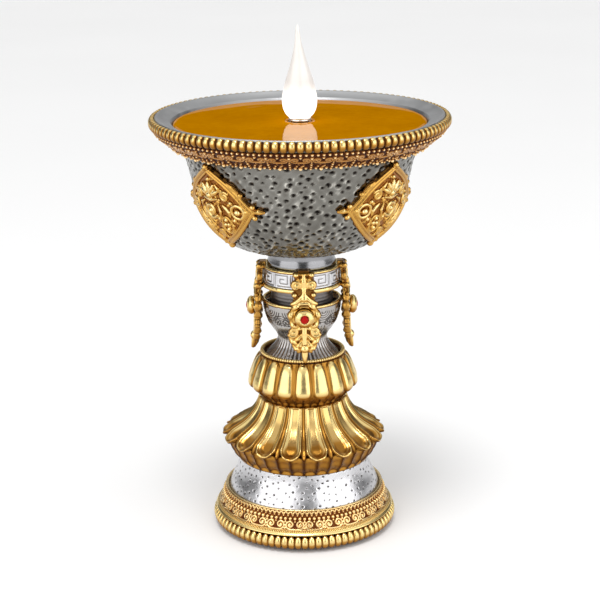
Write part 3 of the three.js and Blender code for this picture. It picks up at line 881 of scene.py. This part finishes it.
def fret_tile(width, high):
    """A squared spiral, engraved, that repeats round the drum."""
    a, b = width / 2, high
    key = [[-a * 0.9, 0.12 * b], [-a * 0.9, 0.88 * b], [a * 0.55, 0.88 * b], [a * 0.55, 0.32 * b],
           [-a * 0.3, 0.32 * b],
           [-a * 0.3, 0.62 * b], [a * 0.15, 0.62 * b]]
    return [(key, 0.24), ([[a * 0.9, 0.88 * b], [a * 0.9, 0.12 * b], [-a * 0.6, 0.12 * b]], 0.24)]


def rolled_ring(name, node, bore, edge, radius, step):
    """A flat gilt ring with a rolled edge, given from its underside to its top."""
    def uneven(azimuth, along, r, z):
        return (0.03 * np.sin(azimuth * 19) + 0.02 * np.sin(azimuth * 47)) * (r > 12), 1
    flat, top = [[bore, edge[0][1]], edge[0]], [[bore, edge[-1][1]]]
    turned(name, joined(flat, rounded(edge, radius, step, False), top), 360, GOLD, node, uneven)


def make_drum():
    ribs = lambda azimuth, along, r, z: (0.06 * np.sin(z * 5) * (r > 10.8), 1)
    core = rounded([[9.6, 77.2], [10.6, 77.2], [11, 78.3], [11, 89.5], [9.6, 89.5]], 0.2, 0.3)
    # the core tube's dark colour stands in for the shadow in the gap between vase and drum
    turned("neck_core_tube", core, 96, GAP_SHADOW_PEWTER, "neck_core", ribs)

    rolled_ring("drum_lower_ring", "drum_lower_rim", 3.5,
                [[13.6, 89.72], [14.3, 89.75], [14.45, 90.5], [14.25, 91.18], [13.6, 91.18]], 0.35, 0.14)
    rolled_ring("drum_upper_ring", "drum_top_rim", 10.3,
                [[13.2, 96.62], [13.75, 96.65], [13.9, 97.05], [13.7, 97.4], [13.1, 97.42]], 0.3, 0.12)

    bottom, high = 91.3, 5.2
    count = 12
    face = line([[13.75, bottom], [13.6, bottom + high]], 0.14)
    outline = joined([[12.3, bottom], [13.6, bottom]], face, [[12.3, bottom + high]])
    width = TAU * 13.6 / count
    tile = tile_relief(fret_tile(width, high), width, high, 54, 44)

    def relief(azimuth, along, r, z):
        on_face = (r > 13.4) * 1.0
        cut = np.clip(sample_tile(tile, cells(azimuth, count), (z - bottom) / high) / 0.2, 0, 1)
        return -0.2 * cut * on_face, 1 - 0.7 * cut * on_face
    turned("drum_fret_band", outline, count * 54, SILVER, "drum_band", relief)

    spool = joined([[9.3, 97.55], [12.1, 97.55]],
                   spline([[12.1, 97.55], [12.2, 98.4], [11.9, 99.6], [11.65, 100.9], [11.7, 102],
                           [12.1, 103.3]], 0.25), [[9.3, 103.3]])
    turned("neck_collar_spool", spool, 200, COLLAR, "neck_collar")


# ------------------------------------------------------------------ bowl

BOWL_SIDE = [
    [14, 103.5], [18, 103.9], [21.7, 105.1], [25.3, 106.6], [28.6, 108.8], [31.3, 111.6], [33.6, 115],
    [35.4, 119],
    [36.6, 123], [37.6, 127], [38.5, 131], [39.5, 135], [41, 139], [44.2, 142.1], [47.6, 144.9], [50.2, 147],
]


def make_bowl():
    side = spline(BOWL_SIDE, 0.44)
    lip = rounded([[50.3, 147.1], [50.3, 150.6], [50.1, 150.95], [49.6, 150.9]], 0.3, 0.5, False)
    inside = spline([[49.6, 150.9], [48.6, 150.3], [46.6, 149.5], [44.7, 149.0]], 0.5)
    well = rounded([[44.7, 149.0], [44.4, 145.2], [42.3, 145.2], [39.4, 139.5], [37, 131], [35, 123],
                    [31.8, 115.6],
                    [27.2, 110], [21.2, 106.6], [14, 105], [ROD_HOLE, 105], [ROD_HOLE, 103.5], [14, 103.5]],
                    0.4, 3.2, False)
    outline = joined(side, lip, inside, well)[:-1]
    columns = 504
    marks, tone = punched(outline, 16, len(side) - 14, columns, 2.35, 0.78, 0.5, 11)
    last = len(side)

    def relief(azimuth, along, r, z):
        outer = along < along[last]
        soft = planished(azimuth, along, 56, 1.2, 0.25, 8) * outer * smoothstep(140, 135, z)
        # tone: darker in the dents and facet hollows (patina), lighter on the facet crests and the dents'
        # raised rims, partly painted highlight
        return marks + soft, np.clip(tone * (0.71 + 1.3 * soft + 0.1 * outer * (marks > 0.02)), 0, 1)
    bowl = turned("bowl_hammered", outline, columns, PEWTER, "bowl", relief)
    bowl.data.materials.append(POLISHED)
    polished = np.zeros(len(bowl.data.polygons), dtype=np.int32)
    polished[(last + 2) * columns:] = 1
    bowl.data.polygons.foreach_set("material_index", polished)

    beads = rounded([[50.4, 147.1], [51.7, 147.1], [52.5, 148.2], [52.5, 149.8], [51.7, 150.9],
                     [50.4, 150.9]], 0.7, 0.3)
    turned("bowl_rim_gadroons", beads, 120 * 10, GOLD, "bowl_rim_beads",
           gadroon(120, 0.95, 0.0, 149.4, 2.1, (0.08, 0.42)))


def make_rim_lace():
    face = line([[43.2, 140.1], [45.2, 141.6], [50.0, 145.6], [50.6, 147.0]], 0.2)
    face[:, 0] += 0.35
    outline = joined(face, [[50.4, 147.05], [49.9, 146.7], [44.6, 142.3], [42.7, 140.3]])
    high = float(distances(face)[-1])
    count = 42
    width = TAU * 46 / count
    half = width / 2
    strokes = scroll_pair(1.7, 6.6, 1.45, 0.42)
    strokes += [([[0, 1.0]], 0.8), ([[-1.75, 1.4]], 0.62), ([[1.75, 1.4]], 0.62), ([[half, 0.7]], 0.55)]
    strokes += [([[0.2, 2.3], [1.0, 3.2]], 0.45), ([[half, 2.3]], 0.55), ([[-1.2, 2.9]], 0.5),
                ([[half, 3.8]], 0.55)]
    strokes += [(spiral(0.2, 4.0, 0.8, 0.8, 0.0, 0.6), 0.36), ([[half, 5.2]], 0.5), ([[0, 8.3]], 0.55)]
    strokes += [([[half, 8.0]], 0.6), ([[half, 6.6]], 0.45)]
    strokes += [([[x, 9.5]], 0.55) for x in (-half, -half / 2, 0, half / 2)]
    tile = tile_relief(strokes, width, high, 36, 64)

    def relief(azimuth, along, r, z):
        on_face = (along <= high) * 1.0
        h = sample_tile(tile, cells(azimuth, count), along / high)
        return on_face * (h * 1.3 - 0.3), 1 - on_face * (1 - smoothstep(0.15, 0.5, h))
    turned("bowl_rim_filigree", outline, count * 36, DEEP, "bowl_rim_lace", relief)


def lozenge(scale):
    """The plaque's outline: full sides and blunt corners."""
    corners = [[16.6, 0.3], [0, 15.3], [-16.6, 0.3], [0, -15.3]]
    out = []
    for k in range(4):
        a, b = np.array(corners[k]), np.array(corners[(k + 1) % 4])
        for u in np.linspace(0, 1, 14, endpoint=False):
            middle = a + (b - a) * u
            out.append(middle * (1 + 0.1 * math.sin(math.pi * u) ** 1.5) * scale)
    return np.array(out)


def plaque_solids():
    """A lozenge with a double border, filled with a lotus bud, scrolls, a bead ring and a pearled oval."""
    ring = lambda scale: np.vstack([lozenge(scale), lozenge(scale)[:1]])
    parts = [slab(lozenge(1.0), -0.5, 0.6)]
    parts.append(tube(raised(ring(0.97), 0.75), 0.66))
    parts.append(tube(raised(ring(0.87), 0.85), 0.5))

    def bead(x, y, r, level=1.0):
        parts.append(ball(x, y, level, r))

    def curl(thick, level, *turn):
        parts.append(tube(raised(spiral(*turn), level), thick))

    def leaf(path, wide, level=1.1):
        count = len(path)
        radii = wide * (0.45 + 0.55 * np.sin(np.linspace(0.25, math.pi - 0.15, count)))
        parts.append(tube(raised(path, level), radii))

    for s in (-1, 1):
        leaf([[s * 16.6, 0.3], [s * 18.2, 0.8], [s * 19.6, 0.5]], 1.25, 0.5)
        bead(s * 16.2, 2.2, 1.0, 0.7)
        bead(s * 16.2, -1.7, 1.0, 0.7)
        leaf([[s * 11.3, 7.0], [s * 9.6, 8.6], [s * 7.8, 9.7]], 1.1, 0.4)
        bead(s * 12.4, 6.0, 1.0, 0.5)
        bead(0, s * 15.4, 1.2, 0.6)
        bead(1.5, s * 13.9, 0.8, 0.8)
        bead(-1.5, s * 13.9, 0.8, 0.8)
        leaf([[s * 9.2, -7.6], [s * 7.8, -8.9], [s * 6.4, -9.7]], 0.8, 0.5)
    for k, angle in enumerate((25, 57, 90, 123, 155)):
        a = math.radians(angle)
        tip = np.array([math.cos(a), math.sin(a)])
        leaf([np.array([-0.6, 4.6]) + tip * d for d in (0.4, 1.8, 3.2, 4.5)], 1.05, 1.15 + 0.15 * (k % 2))
    bead(-0.6, 4.7, 1.3, 1.2)
    leaf([[-3.6, 3.6], [-0.6, 3.0], [2.4, 3.6]], 0.7, 1.3)
    curl(np.linspace(0.75, 0.6, 34), 1.15, -1.4, -0.9, 0.5, 2.9, 0.35, 1.55)
    bead(-1.4, -0.9, 0.95, 1.5)
    curl(0.62, 1.1, 10.4, -0.1, 2.35, 2.35, 0, 1)
    bead(10.4, -0.1, 1.15, 1.3)
    curl(0.58, 1.1, -10.2, 0.3, 0.3, 2.3, 0.1, 1.6)
    oval = spiral(4.6, -5.6, 2.2, 2.2, 0, 1) * [1, 1.35] + [0, 1.96]
    parts.append(tube(raised(oval, 1.0), 0.48))
    for x, y in ((4.6, -7.1), (3.9, -5.4), (5.4, -5.2), (4.6, -3.7)):
        bead(x, y, 0.78, 1.15)
    for k in range(4):
        start = np.array([-9.8, -3.4]) + np.array([1.35, 1.0]) * k
        d = np.linspace(0, 6.8 - 0.7 * k, 10)
        wave = start + np.stack([d, -d * 0.98 + 0.35 * np.sin(d * 1.9 + k)], axis=1)
        leaf(wave, 0.62, 1.05 + 0.1 * (k % 2))
    curl(0.55, 1.1, 6.1, 4.9, 0.3, 1.9, 0.6, -1.5)
    curl(0.55, 1.1, -7.0, 4.4, 0.3, 1.8, 0.9, 1.5)
    curl(0.5, 1.05, 0.4, -9.0, 0.3, 1.6, 0.2, -1.5)
    leaf([[4.6, 1.6], [5.8, 0.8], [6.9, -0.6], [6.9, -2.2]], 0.8)
    leaf([[2.4, 1.2], [3.1, -0.8], [2.6, -2.4]], 0.7)
    leaf([[-4.6, 2.2], [-6.0, 1.6], [-6.8, 0.2]], 0.75)
    leaf([[2.8, 8.8], [3.9, 7.6], [4.2, 6.4]], 0.7)
    leaf([[-3.8, 8.6], [-4.9, 7.2], [-4.8, 6.2]], 0.7)
    leaf([[-5.6, -1.4], [-4.6, -2.6], [-3.2, -4.2]], 0.65)
    for x, y, r in ((0, 10.6, 0.85), (8.2, 2.9, 0.8), (-9.6, 3.4, 0.7), (8.4, -3.4, 0.8), (1.6, -3.6, 0.75),
                    (7.4, -5.4, 0.6),
                    (-0.4, -11.6, 0.7), (2.4, -10.4, 0.6), (-13.2, 0.4, 0.7), (13.6, 0.2, 0.6),
                    (-2.6, -7.0, 0.7),
                    (1.9, -6.6, 0.55), (3.4, 3.4, 0.65), (-3.9, 0.9, 0.6), (5.0, 7.0, 0.6),
                    (-6.6, 6.9, 0.55)):
        bead(x, y, r)
    rng = np.random.default_rng(21)
    for x, y in rng.uniform((-14, -13), (14, 13), (230, 2)):
        if abs(x) / 16.6 + abs(y) / 15.3 < 0.84:
            bead(x, y, rng.uniform(0.4, 0.75), rng.uniform(0.45, 0.8))
    return parts


def make_plaques():
    points, faces = cast(plaque_solids())
    flipped = [face[::-1] for face in faces]
    x, y, h = points.T
    side = spline(BOWL_SIDE, 0.4)
    arc = distances(side)
    centre = float(np.interp(124.0, side[:, 1], arc))
    r = np.interp(centre + y, arc, side[:, 0])
    z = np.interp(centre + y, arc, side[:, 1])
    slope = np.gradient(side, arc, axis=0)
    dr = np.interp(centre + y, arc, slope[:, 0])
    dz = np.interp(centre + y, arc, slope[:, 1])
    length = np.hypot(dr, dz)
    lift = h + 0.35
    radius = r + dz / length * lift
    level = z - dr / length * lift
    tone = np.maximum(np.clip((h - 0.6) / 1.15, 0, 1) ** 0.8, smoothstep(0.55, 0.2, h) * 0.35)
    for name, azimuth in PLAQUES.items():
        hand = 1 if azimuth < 0 else -1
        turn = math.radians(azimuth) + hand * x / r
        verts = around_axis(turn, radius, level)
        obj = new_object(f"plaque_{name}_relief", verts, faces if hand > 0 else flipped, tone)
        finish_piece(obj, RELIEF, f"plaque_{name}")


# ------------------------------------------------------------------ strap ornaments

def strap_solids():
    """The strap laid flat: x across, y the height on the lamp, z outwards from its back."""
    parts = []

    def middle(path, radius, level, flat=1.0):
        parts.append(tube(raised(path, level), radius, flat))

    def both(path, radius, level, flat=1.0):
        middle(path, radius, level, flat)
        middle(mirror(path), radius, level, flat)

    def beads(x, y, level, radius):
        for s in ((-1, 1) if x else (1,)):
            parts.append(ball(x * s, y, level, radius))

    half = [[1.6, 97.9], [3.1, 97.4], [3.4, 95.8], [2.6, 94.4], [3.6, 92.6], [3.3, 90], [4.0, 87.6],
            [4.4, 84.6],
            [4.6, 82], [4.2, 79.6], [2.6, 78.2], [3.0, 76.6], [2.6, 74.6], [3.2, 72.8], [2.4, 71],
            [1.1, 69.6]]
    outline = [[-x, y] for x, y in half] + [[x, y] for x, y in reversed(half)]
    parts.append(slab(outline, -0.3, 0.95))
    hook = [[-1.9, 97.0], [1.9, 97.0], [1.9, 98.5], [-1.9, 98.5]]
    parts.append(slab(hook, -1.4, 0.9))
    for x, y, r in ((2.7, 97.0, 1.2), (3.3, 90.0, 1.15)):
        for s in (-1, 1):
            parts.append(ball(x * s, y, 0.65, r, 1.45))
    for low, high in ((-0.02, 0.07), (0.1, 0.2), (-0.15, -0.06)):
        petal = spiral(0, BOSS_Z, 4.75, 4.75, low, high - low)
        both(petal, 0.5 + 0.8 * np.sin(np.linspace(0.5, math.pi - 0.5, len(petal))), 0.7, 1.35)
    both([[4.9, 74.6], [4.2, 73.4], [3.2, 72.6]], [0.8, 1.15, 0.9], 0.7, 1.4)
    both([[3.9, 72.0], [3.1, 70.9], [2.0, 70.4]], [0.7, 1.05, 0.8], 0.7, 1.4)
    middle([[-2.6, 97.2], [2.6, 97.2]], 0.6, 1.0)
    middle([[0, 97.0], [0, 94.5], [0, 91.0], [0, 88.6]], [0.75, 1.05, 0.95, 1.3], 1.1, 1.2)
    both(spiral(2.75, 93.2, 0.35, 1.6, 0.2, 1.35), 0.8, 0.95, 1.35)
    beads(2.75, 93.2, 1.45, 0.7)
    both([[0.4, 95.6], [1.6, 95.4], [2.7, 94.8]], [0.5, 0.7, 0.6], 1.1)
    both([[0.2, 90.0], [1.6, 88.4], [3.0, 87.3], [4.2, 86.9]], [0.8, 1.0, 1.0, 0.7], 1.2, 1.15)
    both([[0, 87.0], [1.4, 86.9], [2.9, 86.0]], [0.9, 0.9, 0.7], 1.3)
    middle(spiral(0, BOSS_Z, 3.75, 3.75, 0, 1), 0.75, 1.1)
    both(spiral(3.9, 76.6, 0.35, 1.65, 0.45, 1.45), 0.85, 0.85, 1.4)
    beads(3.9, 76.4, 1.35, 0.75)
    both([[0.5, 78.3], [1.5, 78.0], [2.6, 77.4]], [0.7, 0.85, 0.7], 1.2)
    middle([[0, 79], [0, 76.2], [0, 72.6]], [0.9, 1.1, 0.9], 1.2, 1.15)
    both([[0.9, 75.8], [2.2, 74.2], [3.4, 73.6]], [0.6, 0.85, 0.6], 1.2)
    both([[0.8, 73.6], [1.9, 72.0], [2.9, 71.2]], [0.6, 0.9, 0.65], 1.15)
    beads(2.1, 69.9, 0.9, 0.85)
    beads(0, 71.0, 1.45, 1.65)
    middle([[0, 69.6], [0, 68.0], [0, 66.6]], [1.3, 1.15, 0.75], 0.9, 1.2)
    return parts


def make_ornaments():
    points, faces = cast(strap_solids())
    x, height, out = points.T
    back_r = np.interp(height, [66, 68, 71.5, 75.5, 80, 87, 91.4, 92.6, 98.6],
                       [16.9, 16.2, 15.55, 15.1, 14.95, 14.9, 14.7, 14.2, 14.0])
    radius = back_r + out - 0.018 * x**2 * smoothstep(86, 92, height)
    tone = 0.05 + 0.95 * np.clip((out - 0.8) / 1.25, 0, 1)
    edges = np.maximum(0.55 * (np.abs(x) > 3.6), 0.6 * smoothstep(0.75, 0.4, out))
    # the hook sunk behind the strap's back goes dark: painted shade
    tone = np.maximum(tone, edges) * smoothstep(-1.9, -1.1, out)
    twist = math.radians(2.5)
    for name, azimuth in SIDES.items():
        a = math.radians(azimuth) + (twist if name == "front" else 0)
        across = np.array([math.cos(a), math.sin(a)])
        away = np.array([math.sin(a), -math.cos(a)])
        flat = np.outer(x, across) + np.outer(radius, away)
        obj = new_object(f"strap_{name}_scrolls", np.c_[flat, height], faces, tone)
        finish_piece(obj, STRAP, f"strap_{name}")
        make_boss(name, across, away)


def outward_piece(name, verts, faces, tone, across, away, material, node):
    """A small piece drawn face up, turned to look outwards from the boss's place on the strap."""
    x, y, h = np.asarray(verts).T
    flat = np.outer(x, across) + np.outer(BOSS_R + h, away)
    obj = new_object(name, np.c_[flat, BOSS_Z + y], faces, tone)
    return finish_piece(obj, material, node)


def make_boss(side, across, away):
    face_up = lambda azimuth, along, r, z: (0.02 * np.sin(azimuth * 9), 1)
    dome = spline([[3.2, 0.15], [3.36, 0.7], [3.15, 1.4], [2.5, 2.0], [1.8, 2.3], [1.5, 2.22]], 0.12)
    outline = joined([[0, -0.3], [3.0, -0.3]], dome, [[1.45, 1.7], [0, 1.7]])
    verts, faces, tone = turned_mesh(outline, 64, face_up)
    outward_piece(f"boss_{side}_dome", verts, faces, tone, across, away, GOLD, f"boss_{side}")
    cabochon = joined([[0, 1.75], [1.2, 1.75]],
                      spline([[1.2, 1.75], [1.36, 2.0], [1.2, 2.35], [0.7, 2.6], [0, 2.7]], 0.1))
    verts, faces, tone = turned_mesh(cabochon, 48)
    r = np.hypot(verts[:, 0], verts[:, 1])
    pull = 0.5 * np.clip(verts[:, 1] / 1.3, 0, 1) ** 2
    verts[:, 1] += pull * r * 0.6
    verts[:, 0] *= 1 - 0.35 * np.clip(verts[:, 1] / 1.6, 0, 1)
    outward_piece(f"gem_{side}_drop", verts, faces, tone, across, away, RED, f"gem_{side}")


# ------------------------------------------------------------------ light unit

def make_light_unit():
    rim = rounded([[43.2, 145.4], [44.05, 145.9], [44.05, 148.1], [43.5, 148.45]], 0.5, 0.3, False)
    surface = line([[43.5, 148.45], [5.2, 148.5]], 0.9)
    outline = joined([[4.35, 145.4], [43.2, 145.4]], rim, surface, [[4.6, 148.42], [4.35, 148.2]])

    def melt(azimuth, along, r, z):
        top = (z > 148.3) * smoothstep(4.5, 9, r) * smoothstep(44, 41, r)
        wave = np.sin(azimuth * 5 + r * 0.31) + np.sin(azimuth * 11 - r * 0.47)
        wave = wave + np.sin(azimuth * 3 + r * 0.9)
        return 0.006 * wave * top, 1
    turned("butter_disc_amber", outline, 400, BUTTER, "butter_disc", melt, body="light_unit")

    socket = rounded([[0.01, 133.5], [7.9, 133.5], [7.9, 134.9], [4.0, 134.9], [4.0, 148.3], [3.25, 148.3],
                      [3.25, 135.5], [0.01, 135.5]], 0.15, 0.8)
    turned("flame_socket_tube", socket, 64, CHROME, "flame_socket", body="light_unit")

    shell = rounded([[0.01, 117], [32, 117], [33.9, 143.2], [38, 143.3], [38, 145.2], [32.6, 145.2],
                     [30.6, 118.6],
                     [0.01, 118.6]], 0.6, 0.7)

    def ribs(azimuth, along, r, z):
        groove = smoothstep(0.72, 0.9, np.abs(np.cos(azimuth * 30))) * (r > 31.9)
        return -0.35 * groove * smoothstep(119, 121, z) * smoothstep(142, 140, z), 1
    housing = turned("puck_housing_moulded", shell, 360, BLACK, "puck_housing", ribs, body="light_unit")
    carve(housing, (51, 35.5, 4), (0, 0, UNIT_BOTTOM))
    carve(housing, (7.8, 3.6, 4), (0, SWITCH_Y, UNIT_BOTTOM))

    door = rounded_box((50, 34.5, 1.35), (0, 0, 117.75), 0.5)
    for k in range(-3, 4):
        carve(door, (1.1, 14, 0.5), (k * 2.2, -8, UNIT_BOTTOM))
    for x in (-SCREW_X, SCREW_X):
        carve(door, (4.6, 4.6, 0.7), (x, 0, UNIT_BOTTOM))
    door.name = "battery_door_ribbed"
    finish_piece(door, BLACK, "battery_door", body="light_unit")
    for name, x in (("left", -SCREW_X), ("right", SCREW_X)):
        head = rounded([[0.01, 116.15], [1.6, 116.15], [2.0, 116.6], [2.0, 116.95], [0.85, 117.0],
                        [0.85, 118.3], [0.01, 118.3]], 0.15, 0.2)
        verts, faces, tone = turned_mesh(head, 48)
        screw = new_object(f"door_screw_{name}_cross", verts + np.array([x, 0, 0]), faces, tone)
        finish_piece(screw, STEEL, f"door_screw_{name}", body="light_unit")
        carve(screw, (2.4, 0.45, 0.7), (x, 0, 116.2))
        carve(screw, (0.45, 2.4, 0.7), (x, 0, 116.2))


def rounded_box(size, centre, radius):
    """A box with rolled edges, in mm."""
    obj = box_object("box", size, centre)
    bevel = obj.modifiers.new("bevel", "BEVEL")
    bevel.width = radius * MM
    bevel.segments = 3
    apply_modifiers(obj)
    return obj


def box_object(name, size, centre):
    corners = np.array([[x, y, z] for x in (-0.5, 0.5) for y in (-0.5, 0.5) for z in (-0.5, 0.5)])
    verts = corners * size + centre
    faces = [[0, 1, 3, 2], [4, 6, 7, 5], [0, 4, 5, 1], [2, 3, 7, 6], [0, 2, 6, 4], [1, 5, 7, 3]]
    return new_object(name, verts, faces, smooth=False)


def apply_modifiers(obj):
    bpy.context.view_layer.update()
    mesh = bpy.data.meshes.new_from_object(obj.evaluated_get(bpy.context.evaluated_depsgraph_get()))
    obj.modifiers.clear()
    obj.data = mesh


def carve(obj, size, centre):
    """Cuts a box out of a piece, in mm."""
    tool = box_object("tool", size, centre)
    cut = obj.modifiers.new("cut", "BOOLEAN")
    cut.operation = "DIFFERENCE"
    cut.solver = "EXACT"
    cut.object = tool
    apply_modifiers(obj)
    bpy.data.objects.remove(tool)


def make_switch():
    middle = -1.5                           # at rest the knob is at the left end of its slot
    knob = rounded_box((4, 2.8, 3.1), (middle, SWITCH_Y, 116.95), 0.35)
    for k in (-1, 0, 1):
        carve(knob, (0.35, 3, 0.5), (middle + k * 0.9, SWITCH_Y, 115.4))
    knob.name = "switch_knob_ridged"
    finish_piece(knob, WHITE, "switch_knob", body="switch")


def make_flame():
    outer = spline([[3.7, 149.75], [4.7, 150.7], [5.57, 152.3], [6.05, 154.6], [6.1, 156.3], [5.64, 159.2],
                    [4.82, 162.5],
                    [3.13, 167.8], [2.0, 172], [1.1, 176.2], [0.62, 180.2], [0.4, 181.2], [0, 181.58]], 0.35)
    inner = spline([[0, 170.5], [0.9, 169.6], [2.3, 166.5], [4.1, 160], [4.95, 156], [4.4, 152.8],
                    [2.75, 150.6], [2.7, 149.75]], 0.8)
    verts, faces, tone = closed_shell(outer, inner, 72)
    lean = smoothstep(165, 181.6, verts[:, 2])
    verts[:, 0] -= 0.45 * lean
    tone = smoothstep(163, 151, verts[:, 2])
    obj = new_object("flame_teardrop", verts, faces, tone)
    finish_piece(obj, GLOW, "flame_diffuser", body="flame_bulb")

    collar = rounded([[2.5, 148.65], [4.0, 148.65], [4.0, 149.0], [3.8, 149.15], [3.8, 149.35],
                      [3.95, 149.55], [2.5, 149.55]], 0.15, 0.08)
    turned("flame_collar_ring", collar, 96, CHROME, "flame_collar", body="flame_bulb")
    plug = rounded([[0.01, 136.1], [2.1, 136.1], [2.85, 137.6], [2.85, 139], [2.6, 139.2], [2.6, 140],
                    [2.85, 140.2],
                    [2.85, 148.1], [2.2, 148.5], [2.2, 149.5], [0.01, 149.5]], 0.2, 0.3)
    turned("flame_plug_body", plug, 64, BLACK, "flame_plug", body="flame_bulb")


def closed_shell(outer, inner, columns):
    """A hollow turned shell, open at its foot: the outside up to the axis, the inside back down."""
    azimuth = np.arange(columns) / columns * TAU
    up, down = outer[:-1], inner[1:]
    rings = [around_axis(azimuth, r, np.full(columns, z)) for r, z in (*up, *down)]
    top = (len(up) - 1) * columns
    first_inner = len(up) * columns
    last = first_inner + (len(down) - 1) * columns
    faces = grid_faces(len(up), columns, False)
    faces += [[k + first_inner for k in face] for face in grid_faces(len(down), columns, False)]
    tip = len(rings) * columns
    roof = tip + 1
    verts = np.vstack([*rings, [0, 0, outer[-1, 1]], [0, 0, inner[0, 1]]])
    for j in range(columns):
        k = (j + 1) % columns
        faces.append([tip, top + j, top + k])
        faces.append([roof, first_inner + k, first_inner + j])
        faces.append([last + j, last + k, k, j])
    return verts, faces, np.ones(len(verts))


def paint_cad_nodes():
    finishes = {
        "base_plate": STEEL, "stem_tie_rod": STEEL, "stem_nut_lower": STEEL, "stem_nut_upper": STEEL,
        "stem_washer_lower": STEEL, "stem_washer_upper": STEEL, "contact_strip_left": CHROME,
        "contact_strip_right": CHROME, "driver_board": BOARD, "cell_front": WRAP, "cell_middle": WRAP,
        "cell_back": WRAP, "cell_holder": BLACK, "switch_body": BLACK, "flame_led": LED,
    }
    for node, material in finishes.items():
        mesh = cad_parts[node].data
        mesh.materials.clear()
        mesh.materials.append(material)


# ------------------------------------------------------------------ stage

def area_light(name, place):
    """A soft box, in metres, that faces the middle of the lamp."""
    lamp = bpy.data.lights.new(name, "AREA")
    lamp.shape = "RECTANGLE"
    lamp.size, lamp.size_y = 1.35, 0.75
    lamp.energy = 6.0
    obj = bpy.data.objects.new(name, lamp)
    obj.location = place
    aim = Vector((0, 0, 0.09)) - Vector(place)
    obj.rotation_euler = aim.to_track_quat("-Z", "Y").to_euler()
    bpy.context.scene.collection.objects.link(obj)


def make_stage():
    reach, level = 6000, -0.2
    corners = [[x * reach, y * reach, level] for x, y in ((-1, -1), (1, -1), (1, 1), (-1, 1))]
    floor = new_object("floor", corners, [[0, 1, 2, 3]])
    paint = Nodes("floor", (0.9, 0.9, 0.9), 0.0, 0.6)
    paint.mottled(3, 2, (0.9, 0.9, 0.9), (0.92, 0.92, 0.92))
    floor.data.materials.append(paint.material)

    make_world()
    area_light("left_box", (-0.72, -0.72, 0.42))
    area_light("right_box", (0.84, -0.6, 0.42))
    sun = bpy.data.lights.new("key", "SUN")
    sun.energy = 1.05
    sun.angle = math.radians(18)
    key = bpy.data.objects.new("key", sun)
    key.rotation_euler = (math.radians(19), math.radians(-4), 0)
    bpy.context.scene.collection.objects.link(key)


def make_world():
    """A bright ceiling above dim walls. Behind the lamp a bright low wall has a dark band over it, which the
    butter mirrors. The camera sees a plain backdrop instead."""
    world = bpy.data.worlds.new("studio")
    world.use_nodes = True
    tree = world.node_tree

    def mixed(factor, a, b):
        node = tree.nodes.new("ShaderNodeMixRGB")
        tree.links.new(factor, node.inputs["Fac"])
        tree.links.new(a, node.inputs["Color1"])
        if isinstance(b, tuple):
            node.inputs["Color2"].default_value = b
        else:
            tree.links.new(b, node.inputs["Color2"])
        return node.outputs["Color"]

    def walls(*levels):
        """Grey levels against the height of the direction."""
        return colour_ramp(tree, parts.outputs["Z"], [(at, (level,) * 3) for at, level in levels])

    place = tree.nodes.new("ShaderNodeTexCoord")
    parts = tree.nodes.new("ShaderNodeSeparateXYZ")
    tree.links.new(place.outputs["Generated"], parts.inputs["Vector"])
    front = walls((0.0, 0.4), (0.14, 0.2), (0.28, 0.05), (0.45, 0.2), (0.7, 0.85), (1.0, 1.05))
    behind = walls((0.0, 0.9), (0.135, 0.8), (0.155, 0.0), (0.205, 0.0), (0.235, 0.45), (0.6, 0.6),
                   (1.0, 1.1))
    turn = map_range(tree, parts.outputs["Y"], (0.8, 0.93), (0.0, 1.0))
    seen = tree.nodes.new("ShaderNodeLightPath").outputs["Is Camera Ray"]
    plain = mixed(seen, mixed(turn, front, behind), (0.9, 0.9, 0.9, 1))
    tree.links.new(plain, tree.nodes["Background"].inputs["Color"])
    bpy.context.scene.world = world


def make_camera():
    camera = bpy.data.cameras.new("camera")
    camera.lens = 98.1
    camera.sensor_width = 36
    camera.clip_start = 0.01
    obj = bpy.data.objects.new("camera", camera)
    looking_down, roll = math.radians(16.5), math.radians(-0.7)
    place = Matrix.Translation((-0.0007, -0.56116, 0.24975))
    pitch = math.radians(90) - looking_down
    obj.matrix_world = place @ Matrix.Rotation(pitch, 4, "X") @ Matrix.Rotation(roll, 4, "Z")
    bpy.context.scene.collection.objects.link(obj)
    bpy.context.scene.camera = obj


make_camera()
make_stage()
make_foot()
make_base_lace()
make_skirt()
make_lower_lotus()
make_upper_lotus()
make_vase()
make_drum()
make_bowl()
make_rim_lace()
make_plaques()
make_ornaments()
make_light_unit()
make_switch()
make_flame()
paint_cad_nodes()
bpy.context.scene.view_settings.view_transform = "Standard"
